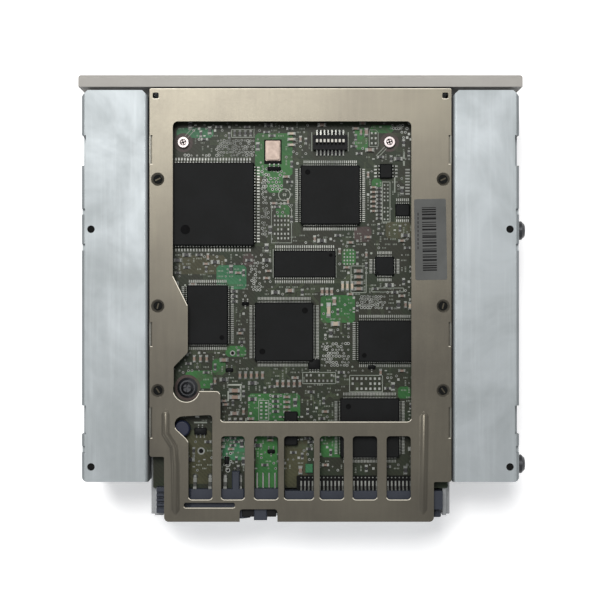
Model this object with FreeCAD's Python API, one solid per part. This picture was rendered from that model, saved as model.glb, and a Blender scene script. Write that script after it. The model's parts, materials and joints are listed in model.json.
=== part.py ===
import FreeCAD, Part
import math
import os

os.makedirs("parts", exist_ok=True)

# Half-height data tape drive: a 3.5 inch helical-scan cassette mechanism carried between two
# sheet-metal rail brackets behind a 5.25 inch bezel. It lies on its top cover, so +Z leaves the
# underside with the circuit board, the bezel faces -Y and the connectors face +Y.
# While it is drawn, Y = 0 is the back plane of the bezel and X = 0 the middle of the drive.
# Millimetres throughout. "left" is -X and "right" is +X.

# ---- driving dimensions: envelope
BEZEL_HEIGHT = 42.0
BEZEL_THICKNESS = 4.0
BAY_WIDTH = 146.05
BEZEL_OVERHANG = 0.975
BODY_WIDTH = 101.6
BODY_LENGTH = 145.0
UNDERSIDE_Z = 41.3

# ---- driving dimensions: sheet metal
COVER_SHEET = 0.8
PLATE_SHEET = 1.0
BRACKET_SHEET = 1.0
DECK_SHEET = 1.6
BOARD_THICKNESS = 1.6
SEAT_GAP = 0.05
RUNNING_GAP = 0.3

# ---- driving dimensions: rail brackets
BRACKET_START = 1.0
BRACKET_REAR_MARGIN = 5.05
BRACKET_WALL_HEIGHT = 30.0
BRACKET_FLANGE_HEIGHT = 22.0
BRACKET_CHAMFER = 2.0
BRACKET_BEND_RADIUS = 1.2
BAY_HOLE_RADIUS = 1.25
BAY_HOLE_FIRST_Y = 47.4
BAY_HOLE_PITCH = 79.25
BAY_HOLE_SPAN = 139.7
BAY_SIDE_DEPTH_NEAR = 10.0
BAY_SIDE_DEPTH_FAR = 21.84
GUIDE_SCREW_HEAD_RADIUS = 3.2
GUIDE_SCREW_HEAD_HEIGHT = 3.0

# ---- driving dimensions: 3.5 inch chassis
FRAME_WALL = 3.5
FRAME_HOLE_REAR_INSET = 28.5
FRAME_HOLE_PITCH = 101.6
FRAME_HOLE_DEPTH = 6.35
SCREW_RADIUS = 1.5
TAP_RADIUS = 1.25
CLEARANCE_RADIUS = 1.8
PLATE_RECESS = 0.3
BEAD_HEIGHT = 0.3
BEAD_WIDTH = 1.6
PLATE_WIDTH = 100.7
PLATE_FLANGE_HEIGHT = 10.0

# ---- driving dimensions: levels inside the chassis
BOARD_Z = 33.7
DECK_Z = 26.0
SLOT_Z = 5.2
SLOT_HEIGHT = 12.8
SLOT_WIDTH = 77.0

# ---- driving dimensions: cassette, loader and tape path
CASSETTE_WIDTH = 73.0
CASSETTE_HEIGHT = 10.5
CASSETTE_CLEARANCE = 0.5
HOLDER_START = 14.0
HOLDER_LENGTH = 28.0
HOLDER_SHEET = 0.6
LOADER_TRAVEL = 20.0
HOLDER_TRAVEL = 7.0
REEL_PITCH = 30.0
REEL_Y = 36.0
REEL_TABLE_RADIUS = 9.0
REEL_SPINDLE_RADIUS = 2.6
DRUM_RADIUS = 15.0
DRUM_Y = 92.0
DRUM_HEIGHT = 19.0
LOWER_DRUM_HEIGHT = 9.0
DRUM_SLIT = 0.3
GUIDE_START = (13.0, 66.0)
GUIDE_END = (23.0, 101.0)
GUIDE_BOAT_RADIUS = 3.2
GUIDE_ROLLER_RADIUS = 2.4
CAPSTAN_PLACE = (-22.0, 70.0)
CAPSTAN_RADIUS = 1.25
CAPSTAN_ROTOR_RADIUS = 10.5
ARM_PIVOT = (34.0, 78.0)
ARM_LENGTH = 12.0
ARM_REST_ANGLE = 83.7
PINCH_ROLLER_RADIUS = 3.5
POST_RADIUS = 1.2

# ---- driving dimensions: front controls
DOOR_THICKNESS = 1.4
DOOR_GAP = 0.25
DOOR_PIN_RADIUS = 0.9
BUTTON_WIDTH = 9.0
BUTTON_HEIGHT = 4.4
BUTTON_X = -38.0
BUTTON_Z = 27.0
BUTTON_PROUD = 0.5
BUTTON_TRAVEL = 1.2
LIGHT_X = 38.0
LIGHT_PITCH = 7.0
LIGHT_WIDTH = 3.0
LIGHT_HEIGHT = 1.6

# ---- driving dimensions: data connector
DATA_X = -21.2
DATA_WIDTH = 53.0
DATA_REAR_INSET = 10.0
DATA_LOW = 29.4
DATA_HIGH = 38.6

# ---- derived levels and places
BEZEL_WIDTH = BAY_WIDTH + 2 * BEZEL_OVERHANG
DATA_START = BODY_LENGTH - DATA_REAR_INSET
CONNECTOR_END = BODY_LENGTH - 0.8
PLATE_TOP = UNDERSIDE_Z - PLATE_RECESS
PLATE_BOTTOM = PLATE_TOP - PLATE_SHEET
BOARD_TOP = BOARD_Z + BOARD_THICKNESS
DECK_TOP = DECK_Z + DECK_SHEET
HALF_BODY = BODY_WIDTH / 2
HALF_BAY = BAY_WIDTH / 2
HALF_PLATE = PLATE_WIDTH / 2
FRAME_INNER = HALF_BODY - FRAME_WALL
FRAME_REBATE = HALF_PLATE - PLATE_SHEET - SEAT_GAP
FLANGE_FOOT = PLATE_BOTTOM - PLATE_FLANGE_HEIGHT
FRAME_HOLE_Z = UNDERSIDE_Z - FRAME_HOLE_DEPTH
FRAME_HOLE_YS = (BODY_LENGTH - FRAME_HOLE_REAR_INSET - FRAME_HOLE_PITCH,
                 BODY_LENGTH - FRAME_HOLE_REAR_INSET)
BAY_HOLE_YS = (BAY_HOLE_FIRST_Y, BAY_HOLE_FIRST_Y + BAY_HOLE_PITCH)
BAY_SIDE_ZS = (UNDERSIDE_Z - BAY_SIDE_DEPTH_NEAR, UNDERSIDE_Z - BAY_SIDE_DEPTH_FAR)
SLOT_TOP = SLOT_Z + SLOT_HEIGHT
CASSETTE_Z = SLOT_Z + (SLOT_HEIGHT - CASSETTE_HEIGHT) / 2

# The part's origin is the middle of its bounding box, on the face it rests on.
SIDE_REACH = HALF_BAY + GUIDE_SCREW_HEAD_HEIGHT
ORIGIN = FreeCAD.Vector((SIDE_REACH - BEZEL_WIDTH / 2) / 2,
                        -(BODY_LENGTH - BEZEL_THICKNESS) / 2, 0)
UP = FreeCAD.Vector(0, 0, 1)
ALONG_X = FreeCAD.Vector(1, 0, 0)
ALONG_Y = FreeCAD.Vector(0, 1, 0)
SIDES = {"left": -1, "right": 1}


def point(x, y, z=0.0):
    return FreeCAD.Vector(x, y, z)


def block(x0, x1, y0, y1, z0, z1):
    """A box between two corners, given in any order."""
    low = point(min(x0, x1), min(y0, y1), min(z0, z1))
    return Part.makeBox(abs(x1 - x0), abs(y1 - y0), abs(z1 - z0), low)


def post(x, y, z0, z1, radius):
    """A cylinder along Z."""
    return Part.makeCylinder(radius, z1 - z0, point(x, y, z0), UP)


def rod_x(x0, x1, y, z, radius):
    """A cylinder along X."""
    return Part.makeCylinder(radius, abs(x1 - x0), point(min(x0, x1), y, z), ALONG_X)


def rod_y(x, y0, y1, z, radius):
    """A cylinder along Y."""
    return Part.makeCylinder(radius, y1 - y0, point(x, y0, z), ALONG_Y)


def outline(corners, level):
    """A closed wire through (x, y, radius) corners, each rounded by its own radius."""
    edges = []
    ends = []
    count = len(corners)
    for index in range(count):
        here = point(corners[index][0], corners[index][1], level)
        before = point(corners[index - 1][0], corners[index - 1][1], level)
        after = point(corners[(index + 1) % count][0], corners[(index + 1) % count][1], level)
        radius = corners[index][2]
        toward_before = (before - here).normalize()
        toward_after = (after - here).normalize()
        if radius == 0:
            ends.append((here, here))
            continue
        half_angle = toward_before.getAngle(toward_after) / 2
        reach = radius / math.tan(half_angle)
        start = here + toward_before * reach
        finish = here + toward_after * reach
        bisector = (toward_before + toward_after).normalize()
        middle = here + bisector * (radius / math.sin(half_angle) - radius)
        edges.append(Part.Arc(start, middle, finish).toShape())
        ends.append((start, finish))
    for index in range(count):
        start = ends[index][1]
        finish = ends[(index + 1) % count][0]
        if start.distanceToPoint(finish) > 0.001:
            edges.append(Part.makeLine(start, finish))
    return Part.Wire(Part.__sortEdges__(edges))


def slab(corners, z0, z1):
    """The outline through the corners, extruded from z0 to z1."""
    return Part.Face(outline(corners, z0)).extrude(UP * (z1 - z0))


def slab_y(corners, y0, y1):
    """The outline through (x, z, radius) corners, extruded from y0 to y1."""
    section = slab(corners, -y1, -y0)
    section.rotate(point(0, 0), ALONG_X, 90)
    return section


def rounded(x0, x1, y0, y1, z0, z1, radius):
    """A box with rounded vertical edges."""
    return slab([(x0, y0, radius), (x1, y0, radius), (x1, y1, radius), (x0, y1, radius)], z0, z1)


def joined(shapes):
    """The shapes fused into one solid."""
    first = shapes[0]
    if len(shapes) > 1:
        first = first.multiFuse(shapes[1:])
    return first.removeSplitter()


def cut_all(shape, tools):
    return shape.cut(Part.makeCompound(tools)) if tools else shape


def flipped(shape, side):
    """The shape as drawn on the +X side, or its mirror image for the -X side."""
    if side > 0:
        return shape
    return shape.mirror(point(0, 0), ALONG_X)


def turned(shape, angle, centre):
    """The shape turned about a vertical axis through a centre."""
    copy = shape.copy()
    copy.rotate(point(centre[0], centre[1]), UP, angle)
    return copy


def write(name, shapes):
    """Moves the finished piece to the part's origin and writes it."""
    solids = []
    for shape in shapes:
        solids.extend(shape.Solids)
    whole = solids[0] if len(solids) == 1 else Part.makeCompound(solids)
    placed = whole.copy()
    placed.translate(ORIGIN)
    placed.exportStep("parts/" + name + ".step")


# ---------------------------------------------------------------- rail brackets
# Each bracket is a folded channel: the web lies in the underside plane, the inner flange is
# screwed to the 3.5 inch chassis and the outer wall carries the 5.25 inch side holes.
# the bracket reaches past the last of the holes in its web and in its flange
BRACKET_END = max(BAY_HOLE_YS[-1], FRAME_HOLE_YS[-1]) + BRACKET_REAR_MARGIN
NOTCH_DEPTH = 1.5
SMALL_NOTCH_DEPTH = 1.2
WALL_NOTCH_HEIGHT = 6.0
SMALL_NOTCH_HEIGHT = 2.2
WIDE_NOTCHES = ((16.0, 26.2), (BRACKET_END - 25.5, BRACKET_END - 16.0))
NARROW_NOTCHES = ((40.5, 42.5), (52.2, 54.5), (BRACKET_END - 12.0, BRACKET_END - 9.8))
CLIP_WINDOW_Y = (5.0, 8.0)
CLIP_WINDOW_HEIGHT = 8.0
CLIP_Z = 25.0
FLANGE_CORNER = 4.0
FLANGE_STEP_Y = BRACKET_END - 11.7


def rail_bracket(side):
    web_bottom = UNDERSIDE_Z - BRACKET_SHEET
    inner = HALF_BODY
    outer = HALF_BAY
    wall_bottom = UNDERSIDE_Z - BRACKET_WALL_HEIGHT
    flange_bottom = UNDERSIDE_Z - BRACKET_FLANGE_HEIGHT
    inside_bend = BRACKET_BEND_RADIUS - BRACKET_SHEET
    channel = slab_y([(inner, flange_bottom, 0), (inner, UNDERSIDE_Z, BRACKET_BEND_RADIUS),
                      (outer, UNDERSIDE_Z, BRACKET_BEND_RADIUS), (outer, wall_bottom, 0),
                      (outer - BRACKET_SHEET, wall_bottom, 0),
                      (outer - BRACKET_SHEET, web_bottom, inside_bend),
                      (inner + BRACKET_SHEET, web_bottom, inside_bend),
                      (inner + BRACKET_SHEET, flange_bottom, 0)], BRACKET_START, BRACKET_END)
    # both front corners of the web are clipped and its outer rear corner is rounded
    blank = slab([(inner, BRACKET_START + BRACKET_CHAMFER, 0),
                  (inner + BRACKET_CHAMFER, BRACKET_START, 0),
                  (outer - BRACKET_CHAMFER, BRACKET_START, 0),
                  (outer, BRACKET_START + BRACKET_CHAMFER, 0),
                  (outer, BRACKET_END, BRACKET_CHAMFER), (inner, BRACKET_END, 0)],
                 wall_bottom - 1, UNDERSIDE_Z + 1)
    channel = channel.common(blank)
    cuts = [
        # the flange's rear foot is cut away on a round corner
        block(inner - 1, inner + BRACKET_SHEET + 1, FLANGE_STEP_Y, BRACKET_END + 1,
              flange_bottom - 1, flange_bottom + FLANGE_CORNER),
    ]
    for low, high in WIDE_NOTCHES:
        cuts.append(block(outer - NOTCH_DEPTH, outer + 1, low, high,
                          UNDERSIDE_Z - WALL_NOTCH_HEIGHT, UNDERSIDE_Z + 1))
    for low, high in NARROW_NOTCHES:
        cuts.append(block(outer - SMALL_NOTCH_DEPTH, outer + 1, low, high,
                          UNDERSIDE_Z - SMALL_NOTCH_HEIGHT, UNDERSIDE_Z + 1))
    for y in BAY_HOLE_YS:
        cuts.append(post(BAY_HOLE_SPAN / 2, y, web_bottom - 1, UNDERSIDE_Z + 1, BAY_HOLE_RADIUS))
        for z in BAY_SIDE_ZS:
            # a hole that holds a guide screw is drawn at the thread's outer size
            held = side == SIDES["left"] and z == BAY_SIDE_ZS[0]
            cuts.append(rod_x(outer - BRACKET_SHEET - 1, outer + 1, y, z,
                              SCREW_RADIUS if held else BAY_HOLE_RADIUS))
    for y in FRAME_HOLE_YS:
        cuts.append(rod_x(inner - 1, inner + BRACKET_SHEET + 1, y, FRAME_HOLE_Z, CLEARANCE_RADIUS))
    cuts.append(block(outer - BRACKET_SHEET - 1, outer + 1, CLIP_WINDOW_Y[0], CLIP_WINDOW_Y[1],
                      CLIP_Z - CLIP_WINDOW_HEIGHT / 2, CLIP_Z + CLIP_WINDOW_HEIGHT / 2))
    return flipped(cut_all(channel, cuts), side)


for label, side in SIDES.items():
    write("rail_bracket_" + label, [rail_bracket(side)])


# ---------------------------------------------------------------- screws
def pan_screw(radius, head_radius, head_height, length, recess=True):
    """A screw along Z: the head's seat is z = 0, the shank goes down, the head stands up."""
    shank = Part.makeCylinder(radius, length, point(0, 0, -length), UP)
    head = Part.makeCylinder(head_radius, head_height, point(0, 0, 0), UP)
    screw = shank.fuse(head)
    if recess:
        rim = [edge for edge in screw.Edges if edge.BoundBox.ZMin > head_height - 0.01]
        screw = screw.makeChamfer(head_height * 0.35, rim)
        arm = head_radius * 0.62
        slot = head_radius * 0.16
        depth = head_height * 0.55
        cross = block(-arm, arm, -slot, slot, head_height - depth, head_height + 1)
        cross = cross.fuse(block(-slot, slot, -arm, arm, head_height - depth, head_height + 1))
        screw = screw.cut(cross)
    return screw.removeSplitter()


def placed_screw(screw, x, y, z, direction):
    copy = screw.copy()
    turn = FreeCAD.Rotation(UP, direction)
    copy.Placement = FreeCAD.Placement(point(x, y, z), turn)
    return copy


# Two shoulder screws stand out of the left bracket and guide the drive into its bay.
guide_screw = pan_screw(SCREW_RADIUS, GUIDE_SCREW_HEAD_RADIUS, GUIDE_SCREW_HEAD_HEIGHT, 4.0)
write("bay_guide_screws", [placed_screw(guide_screw, -HALF_BAY, y, BAY_SIDE_ZS[0], -ALONG_X)
                           for y in BAY_HOLE_YS])

BRACKET_SCREW_LENGTH = 4.6
BRACKET_HEAD_RADIUS = 2.8
BRACKET_HEAD_HEIGHT = 1.7
bracket_screw = pan_screw(TAP_RADIUS, BRACKET_HEAD_RADIUS, BRACKET_HEAD_HEIGHT,
                          BRACKET_SCREW_LENGTH)
screws = []
for side in SIDES.values():
    for y in FRAME_HOLE_YS:
        seat = side * (HALF_BODY + BRACKET_SHEET)
        screws.append(placed_screw(bracket_screw, seat, y, FRAME_HOLE_Z, ALONG_X * side))
chassis_screws = list(screws)

# ---------------------------------------------------------------- side frames
# Die-cast rails join the cover, the deck, the board and the bottom plate.
FRAME_START = 1.0
FRAME_END = BODY_LENGTH - 1.2
BOSS_HALF = 5.0
BOSS_INNER = 45.2
LEDGE_INNER = 46.4
PAD_INNER = 43.3
PAD_YS = (20.0, BODY_LENGTH - 33.0)
PAD_HALF = 4.0
PAD_SCREW_X = 45.3
COVER_FLANGE_HEIGHT = 4.2
COVER_SCREW_X = 48.4
COVER_SCREW_YS = (8.0, BODY_LENGTH - 9.0)
PLATE_HOLE_SPAN = 95.25
PLATE_HOLE_X = PLATE_HOLE_SPAN / 2
PLATE_HOLE_YS = (30.7, 73.0, 101.2)
PLATE_HOLE_RADIUS = 1.5
PLATE_DIMPLE_RADIUS = 2.2
PLATE_POST_RADIUS = 2.1


def side_frame(side):
    wall = block(FRAME_INNER, HALF_BODY, FRAME_START, FRAME_END, COVER_SHEET,
                 FLANGE_FOOT - SEAT_GAP)
    ledge = block(LEDGE_INNER, FRAME_REBATE, FRAME_START, FRAME_END, FLANGE_FOOT - 2.0, BOARD_Z)
    parts = [wall, ledge]
    for y in FRAME_HOLE_YS:
        parts.append(block(BOSS_INNER, FRAME_REBATE, y - BOSS_HALF, y + BOSS_HALF,
                           BOARD_Z - 2.0, PLATE_BOTTOM))
    for y in PLATE_HOLE_YS:
        stand = post(PLATE_HOLE_X, y, BOARD_Z - 2.0, PLATE_BOTTOM, PLATE_POST_RADIUS)
        parts.append(stand.common(block(0, FRAME_REBATE, y - 5, y + 5, 0, UNDERSIDE_Z)))
    for y in PAD_YS:
        parts.append(block(PAD_INNER, FRAME_INNER + 0.5, y - PAD_HALF, y + PAD_HALF,
                           DECK_TOP, BOARD_Z))
    frame = joined(parts)
    cuts = [block(HALF_BODY - COVER_SHEET - SEAT_GAP, HALF_BODY + 1, FRAME_START - 1,
                  FRAME_END + 1, 0, COVER_SHEET + COVER_FLANGE_HEIGHT + SEAT_GAP)]
    for y in FRAME_HOLE_YS:
        cuts.append(rod_x(BOSS_INNER - 1, HALF_BODY + 1, y, FRAME_HOLE_Z, TAP_RADIUS + SEAT_GAP))
    for y in PLATE_HOLE_YS:
        cuts.append(post(PLATE_HOLE_X, y, BOARD_TOP, PLATE_BOTTOM + 1, TAP_RADIUS))
    for y in PAD_YS:
        cuts.append(post(PAD_SCREW_X, y, DECK_TOP - 1, BOARD_Z - 1, TAP_RADIUS + SEAT_GAP))
    for y in COVER_SCREW_YS:
        cuts.append(post(COVER_SCREW_X, y, 0, COVER_SHEET + 5, 1.0 + SEAT_GAP))
    if side < 0:
        # room for the end of the data connector; a thin blade of the frame stays beside it
        cuts.append(block(0, DATA_WIDTH / 2 - DATA_X + RUNNING_GAP, DATA_START - RUNNING_GAP,
                          FRAME_END + 1, DATA_LOW - RUNNING_GAP, UNDERSIDE_Z))
    return flipped(cut_all(frame, cuts), side)


for label, side in SIDES.items():
    write("side_frame_" + label, [side_frame(side)])


# ---------------------------------------------------------------- top cover
COVER_FRONT = 0.6
COVER_REAR = BODY_LENGTH - 0.2
COVER_REAR_HEIGHT = 26.4
COVER_REAR_HALF = 46.0
COVER_CORNER = 1.5
COVER_HEAD_RADIUS = 2.2
COVER_HEAD_HEIGHT = 0.5
PANEL_MARGIN = 9.0
PANEL_DEPTH = 0.3


def top_cover():
    roof = rounded(-HALF_BODY, HALF_BODY, COVER_FRONT, COVER_REAR, 0, COVER_SHEET, COVER_CORNER)
    parts = [roof]
    low = COVER_SHEET - 0.2
    for side in SIDES.values():
        parts.append(block(side * (HALF_BODY - COVER_SHEET), side * HALF_BODY,
                           COVER_FRONT + COVER_CORNER, COVER_REAR - COVER_CORNER,
                           low, COVER_SHEET + COVER_FLANGE_HEIGHT))
    parts.append(block(-COVER_REAR_HALF, COVER_REAR_HALF, COVER_REAR - COVER_SHEET, COVER_REAR,
                       low, COVER_SHEET + COVER_REAR_HEIGHT))
    cover = joined(parts)
    # a stamped panel stands slightly into the drive and stiffens the sheet
    inner = HALF_BODY - PANEL_MARGIN
    first = COVER_FRONT + PANEL_MARGIN * 2
    last = COVER_REAR - PANEL_MARGIN * 2
    cuts = [rounded(-inner, inner, first, last, -1, PANEL_DEPTH, PANEL_MARGIN / 2)]
    for side in SIDES.values():
        for y in COVER_SCREW_YS:
            x = side * COVER_SCREW_X
            cuts.append(post(x, y, -1, COVER_HEAD_HEIGHT + 0.1, COVER_HEAD_RADIUS + SEAT_GAP))
            cuts.append(post(x, y, 0, COVER_SHEET + 1, 1.0 + 2 * SEAT_GAP))
    return cut_all(cover, cuts)


write("top_cover", [top_cover()])

cover_screw = pan_screw(1.0, COVER_HEAD_RADIUS, COVER_HEAD_HEIGHT, 4.0, recess=False)
screws = []
for side in SIDES.values():
    for y in COVER_SCREW_YS:
        screws.append(placed_screw(cover_screw, side * COVER_SCREW_X, y,
                                   COVER_HEAD_HEIGHT + 0.1, -UP))
chassis_screws += screws


# ---------------------------------------------------------------- bottom plate
# One pressed sheet: a large window over the board, a grille of seven slots over the rear
# connectors, a round clearance for the grounding screw and two raised beads.
PLATE_START = 0.4
PLATE_END = BODY_LENGTH
PLATE_STEP = {"left": (BODY_LENGTH - 13.3, -44.5), "right": (BODY_LENGTH - 21.7, 45.5)}
GROUND_SCREW = (38.1, 100.6)
GROUND_CLEARANCE = 4.4
WINDOW_TOP = 11.4
WINDOW_LEFT = -37.0
WINDOW_RIGHT = 42.6
WINDOW_BOTTOM = BODY_LENGTH - 33.4
GRILLE_START = BODY_LENGTH - 28.6
GRILLE_END = BODY_LENGTH - 7.4
GRILLE_CORNER = 1.2
GRILLE_SLOTS = ((18.6, 26.5), (7.4, 15.5), (-4.5, 5.5), (-14.5, -6.4), (-25.6, -17.4),
                (-36.8, -28.7))
LOBE_CENTRE = (39.3, WINDOW_BOTTOM + 0.9)
LOBE_RADIUS = 2.7
SLIT_SPANS = ((16.0, 25.6), (78.4, 86.4), (BODY_LENGTH - 38.2, BODY_LENGTH - 28.0))
SLIT_WIDTH = 0.7
BEAD_END = BODY_LENGTH - 5.0
PLATE_BEADS = (((45.0, WINDOW_BOTTOM - 3.4), (45.0, WINDOW_BOTTOM + 4.3),
                (42.2, WINDOW_BOTTOM + 8.4), (41.7, BEAD_END)),
               ((-41.3, WINDOW_BOTTOM - 2.5), (-40.8, BEAD_END)))
VENT = (21.9, 38.9, BODY_LENGTH - 6.4, BODY_LENGTH - 4.7)
REAR_NOTCH = (7.7, 20.3, BODY_LENGTH - 4.2)
FLANGE_START = 2.0
WAIST_X = 37.6
WAIST_YS = (62.9, 73.0, 88.5, 93.3)


def plate_window():
    """The large window: it widens twice on the right and runs round the grounding screw."""
    screw_x, screw_y = GROUND_SCREW
    shelf = screw_y + 0.8
    corners = [(WINDOW_RIGHT, WINDOW_TOP, 1.7), (WINDOW_LEFT, WINDOW_TOP, 1.7),
               (WINDOW_LEFT, WINDOW_BOTTOM, 1.5), (26.7, WINDOW_BOTTOM, 1.2),
               (26.7, shelf, 1.6), (screw_x, shelf, 0), (screw_x + 4.2, screw_y, 0),
               (screw_x + 4.2, WAIST_YS[3], 1.0), (WAIST_X, WAIST_YS[2], 1.5),
               (WAIST_X, WAIST_YS[1], 1.5), (WINDOW_RIGHT, WAIST_YS[0], 1.5)]
    window = slab(corners, PLATE_BOTTOM - 1, PLATE_TOP + 1)
    return window.fuse(post(screw_x, screw_y, PLATE_BOTTOM - 1, PLATE_TOP + 1, GROUND_CLEARANCE))


def first_slot():
    """The slot beside the beads has a round lobe at its front corner."""
    low = PLATE_BOTTOM - 1
    high = PLATE_TOP + 1
    right = 37.4
    slot = slab([(right, GRILLE_END, GRILLE_CORNER), (29.4, GRILLE_END, GRILLE_CORNER),
                 (29.4, LOBE_CENTRE[1] - LOBE_RADIUS - 0.5, GRILLE_CORNER),
                 (LOBE_CENTRE[0], LOBE_CENTRE[1] - LOBE_RADIUS, 0),
                 (LOBE_CENTRE[0] + LOBE_RADIUS * 0.7, LOBE_CENTRE[1] + LOBE_RADIUS * 0.7, 0),
                 (right + 0.8, LOBE_CENTRE[1] + 4.7, 1.0), (right, LOBE_CENTRE[1] + 5.9, 1.0)],
                low, high)
    return slot.fuse(post(LOBE_CENTRE[0], LOBE_CENTRE[1], low, high, LOBE_RADIUS))


def bead(route):
    """A raised rib with round ends that follows a route on the plate."""
    pieces = []
    low = PLATE_TOP - 0.2
    half = BEAD_WIDTH / 2
    for start, finish in zip(route[:-1], route[1:]):
        length = math.hypot(finish[0] - start[0], finish[1] - start[1])
        rib = block(-half, half, 0, length, low, PLATE_TOP + BEAD_HEIGHT)
        rib.rotate(point(0, 0), UP, math.degrees(math.atan2(start[0] - finish[0],
                                                            finish[1] - start[1])))
        rib.translate(point(start[0], start[1]))
        pieces.append(rib)
        pieces.append(post(start[0], start[1], low, PLATE_TOP + BEAD_HEIGHT, half))
    pieces.append(post(route[-1][0], route[-1][1], low, PLATE_TOP + BEAD_HEIGHT, half))
    return joined(pieces)


def bottom_plate():
    left_step_y, left_step_x = PLATE_STEP["left"]
    right_step_y, right_step_x = PLATE_STEP["right"]
    sheet = slab([(-HALF_PLATE, PLATE_START, 0.6), (HALF_PLATE, PLATE_START, 0.6),
                  (HALF_PLATE, right_step_y, 0.8), (right_step_x, right_step_y, 0.5),
                  (right_step_x, PLATE_END, 1.5), (left_step_x, PLATE_END, 1.5),
                  (left_step_x, left_step_y, 0.5), (-HALF_PLATE, left_step_y, 0.8)],
                 PLATE_BOTTOM, PLATE_TOP)
    flange_top = PLATE_BOTTOM + 0.2
    parts = [sheet]
    for label, side in SIDES.items():
        parts.append(block(side * (HALF_PLATE - PLATE_SHEET), side * HALF_PLATE, FLANGE_START,
                           PLATE_STEP[label][0] - 1.0, FLANGE_FOOT, flange_top))
    for route in PLATE_BEADS:
        parts.append(bead(route))
    plate = joined(parts)
    low = PLATE_BOTTOM - 1
    high = PLATE_TOP + 1
    cuts = [plate_window(), first_slot()]
    for x0, x1 in GRILLE_SLOTS:
        cuts.append(rounded(x0, x1, GRILLE_START, GRILLE_END, low, high, GRILLE_CORNER))
    cuts.append(rounded(VENT[0], VENT[1], VENT[2], VENT[3], low, high, 0.6))
    cuts.append(rounded(REAR_NOTCH[0], REAR_NOTCH[1], REAR_NOTCH[2], PLATE_END + 4, low, high, 1.0))
    for side in SIDES.values():
        cuts.append(rounded(side * 48.3 - 1.0, side * 48.3 + 1.0, 1.8, 3.8, low, high, 0.5))
        for y in PLATE_HOLE_YS:
            x = side * PLATE_HOLE_X
            cuts.append(post(x, y, low, high, PLATE_HOLE_RADIUS))
            cuts.append(Part.makeCone(PLATE_HOLE_RADIUS, PLATE_DIMPLE_RADIUS + 0.5, PLATE_SHEET,
                                      point(x, y, PLATE_TOP - PLATE_SHEET * 0.6), UP))
        for first, last in SLIT_SPANS:
            edge = side * (HALF_PLATE - PLATE_SHEET / 2 - 0.1)
            cuts.append(block(edge - SLIT_WIDTH / 2, edge + SLIT_WIDTH / 2, first, last,
                              PLATE_BOTTOM - 0.6, high))
        for y in FRAME_HOLE_YS:
            cuts.append(rod_x(side * (HALF_PLATE - PLATE_SHEET - 1), side * (HALF_PLATE + 1), y,
                              FRAME_HOLE_Z, CLEARANCE_RADIUS))
    return cut_all(plate, cuts)


write("bottom_plate", [bottom_plate()])


# ---------------------------------------------------------------- bezel and front controls
BEZEL_EDGE = 1.0
DOOR_LIP = 1.2
DOOR_POCKET = 2.6
DOOR_FACE_Y = -2.2
HINGE_Y = DOOR_FACE_Y + DOOR_THICKNESS / 2
HINGE_Z = SLOT_Z - 1.3
DOOR_FOOT = HINGE_Z - DOOR_THICKNESS / 2
DOOR_PIN_LENGTH = 1.9
HINGE_FIT = 0.05
CLIP_LENGTH = 8.6
CLIP_THICKNESS = 1.5
CLIP_TOOTH = 0.75
CLIP_GAP = 0.12
BUTTON_GAP = 0.15
BUTTON_FLANGE = 1.0
FRONT_BOARD_Y = 5.0
FRONT_BOARD_SHEET = 1.2
FRONT_BOARD_Z = (SLOT_TOP + 2.6, 33.0)
FRONT_BOARD_HALF = 45.0
SWITCH_HALF = 3.0
RECESS_DEPTH = 0.5
RECESS_MARGIN = 5.0


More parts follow.
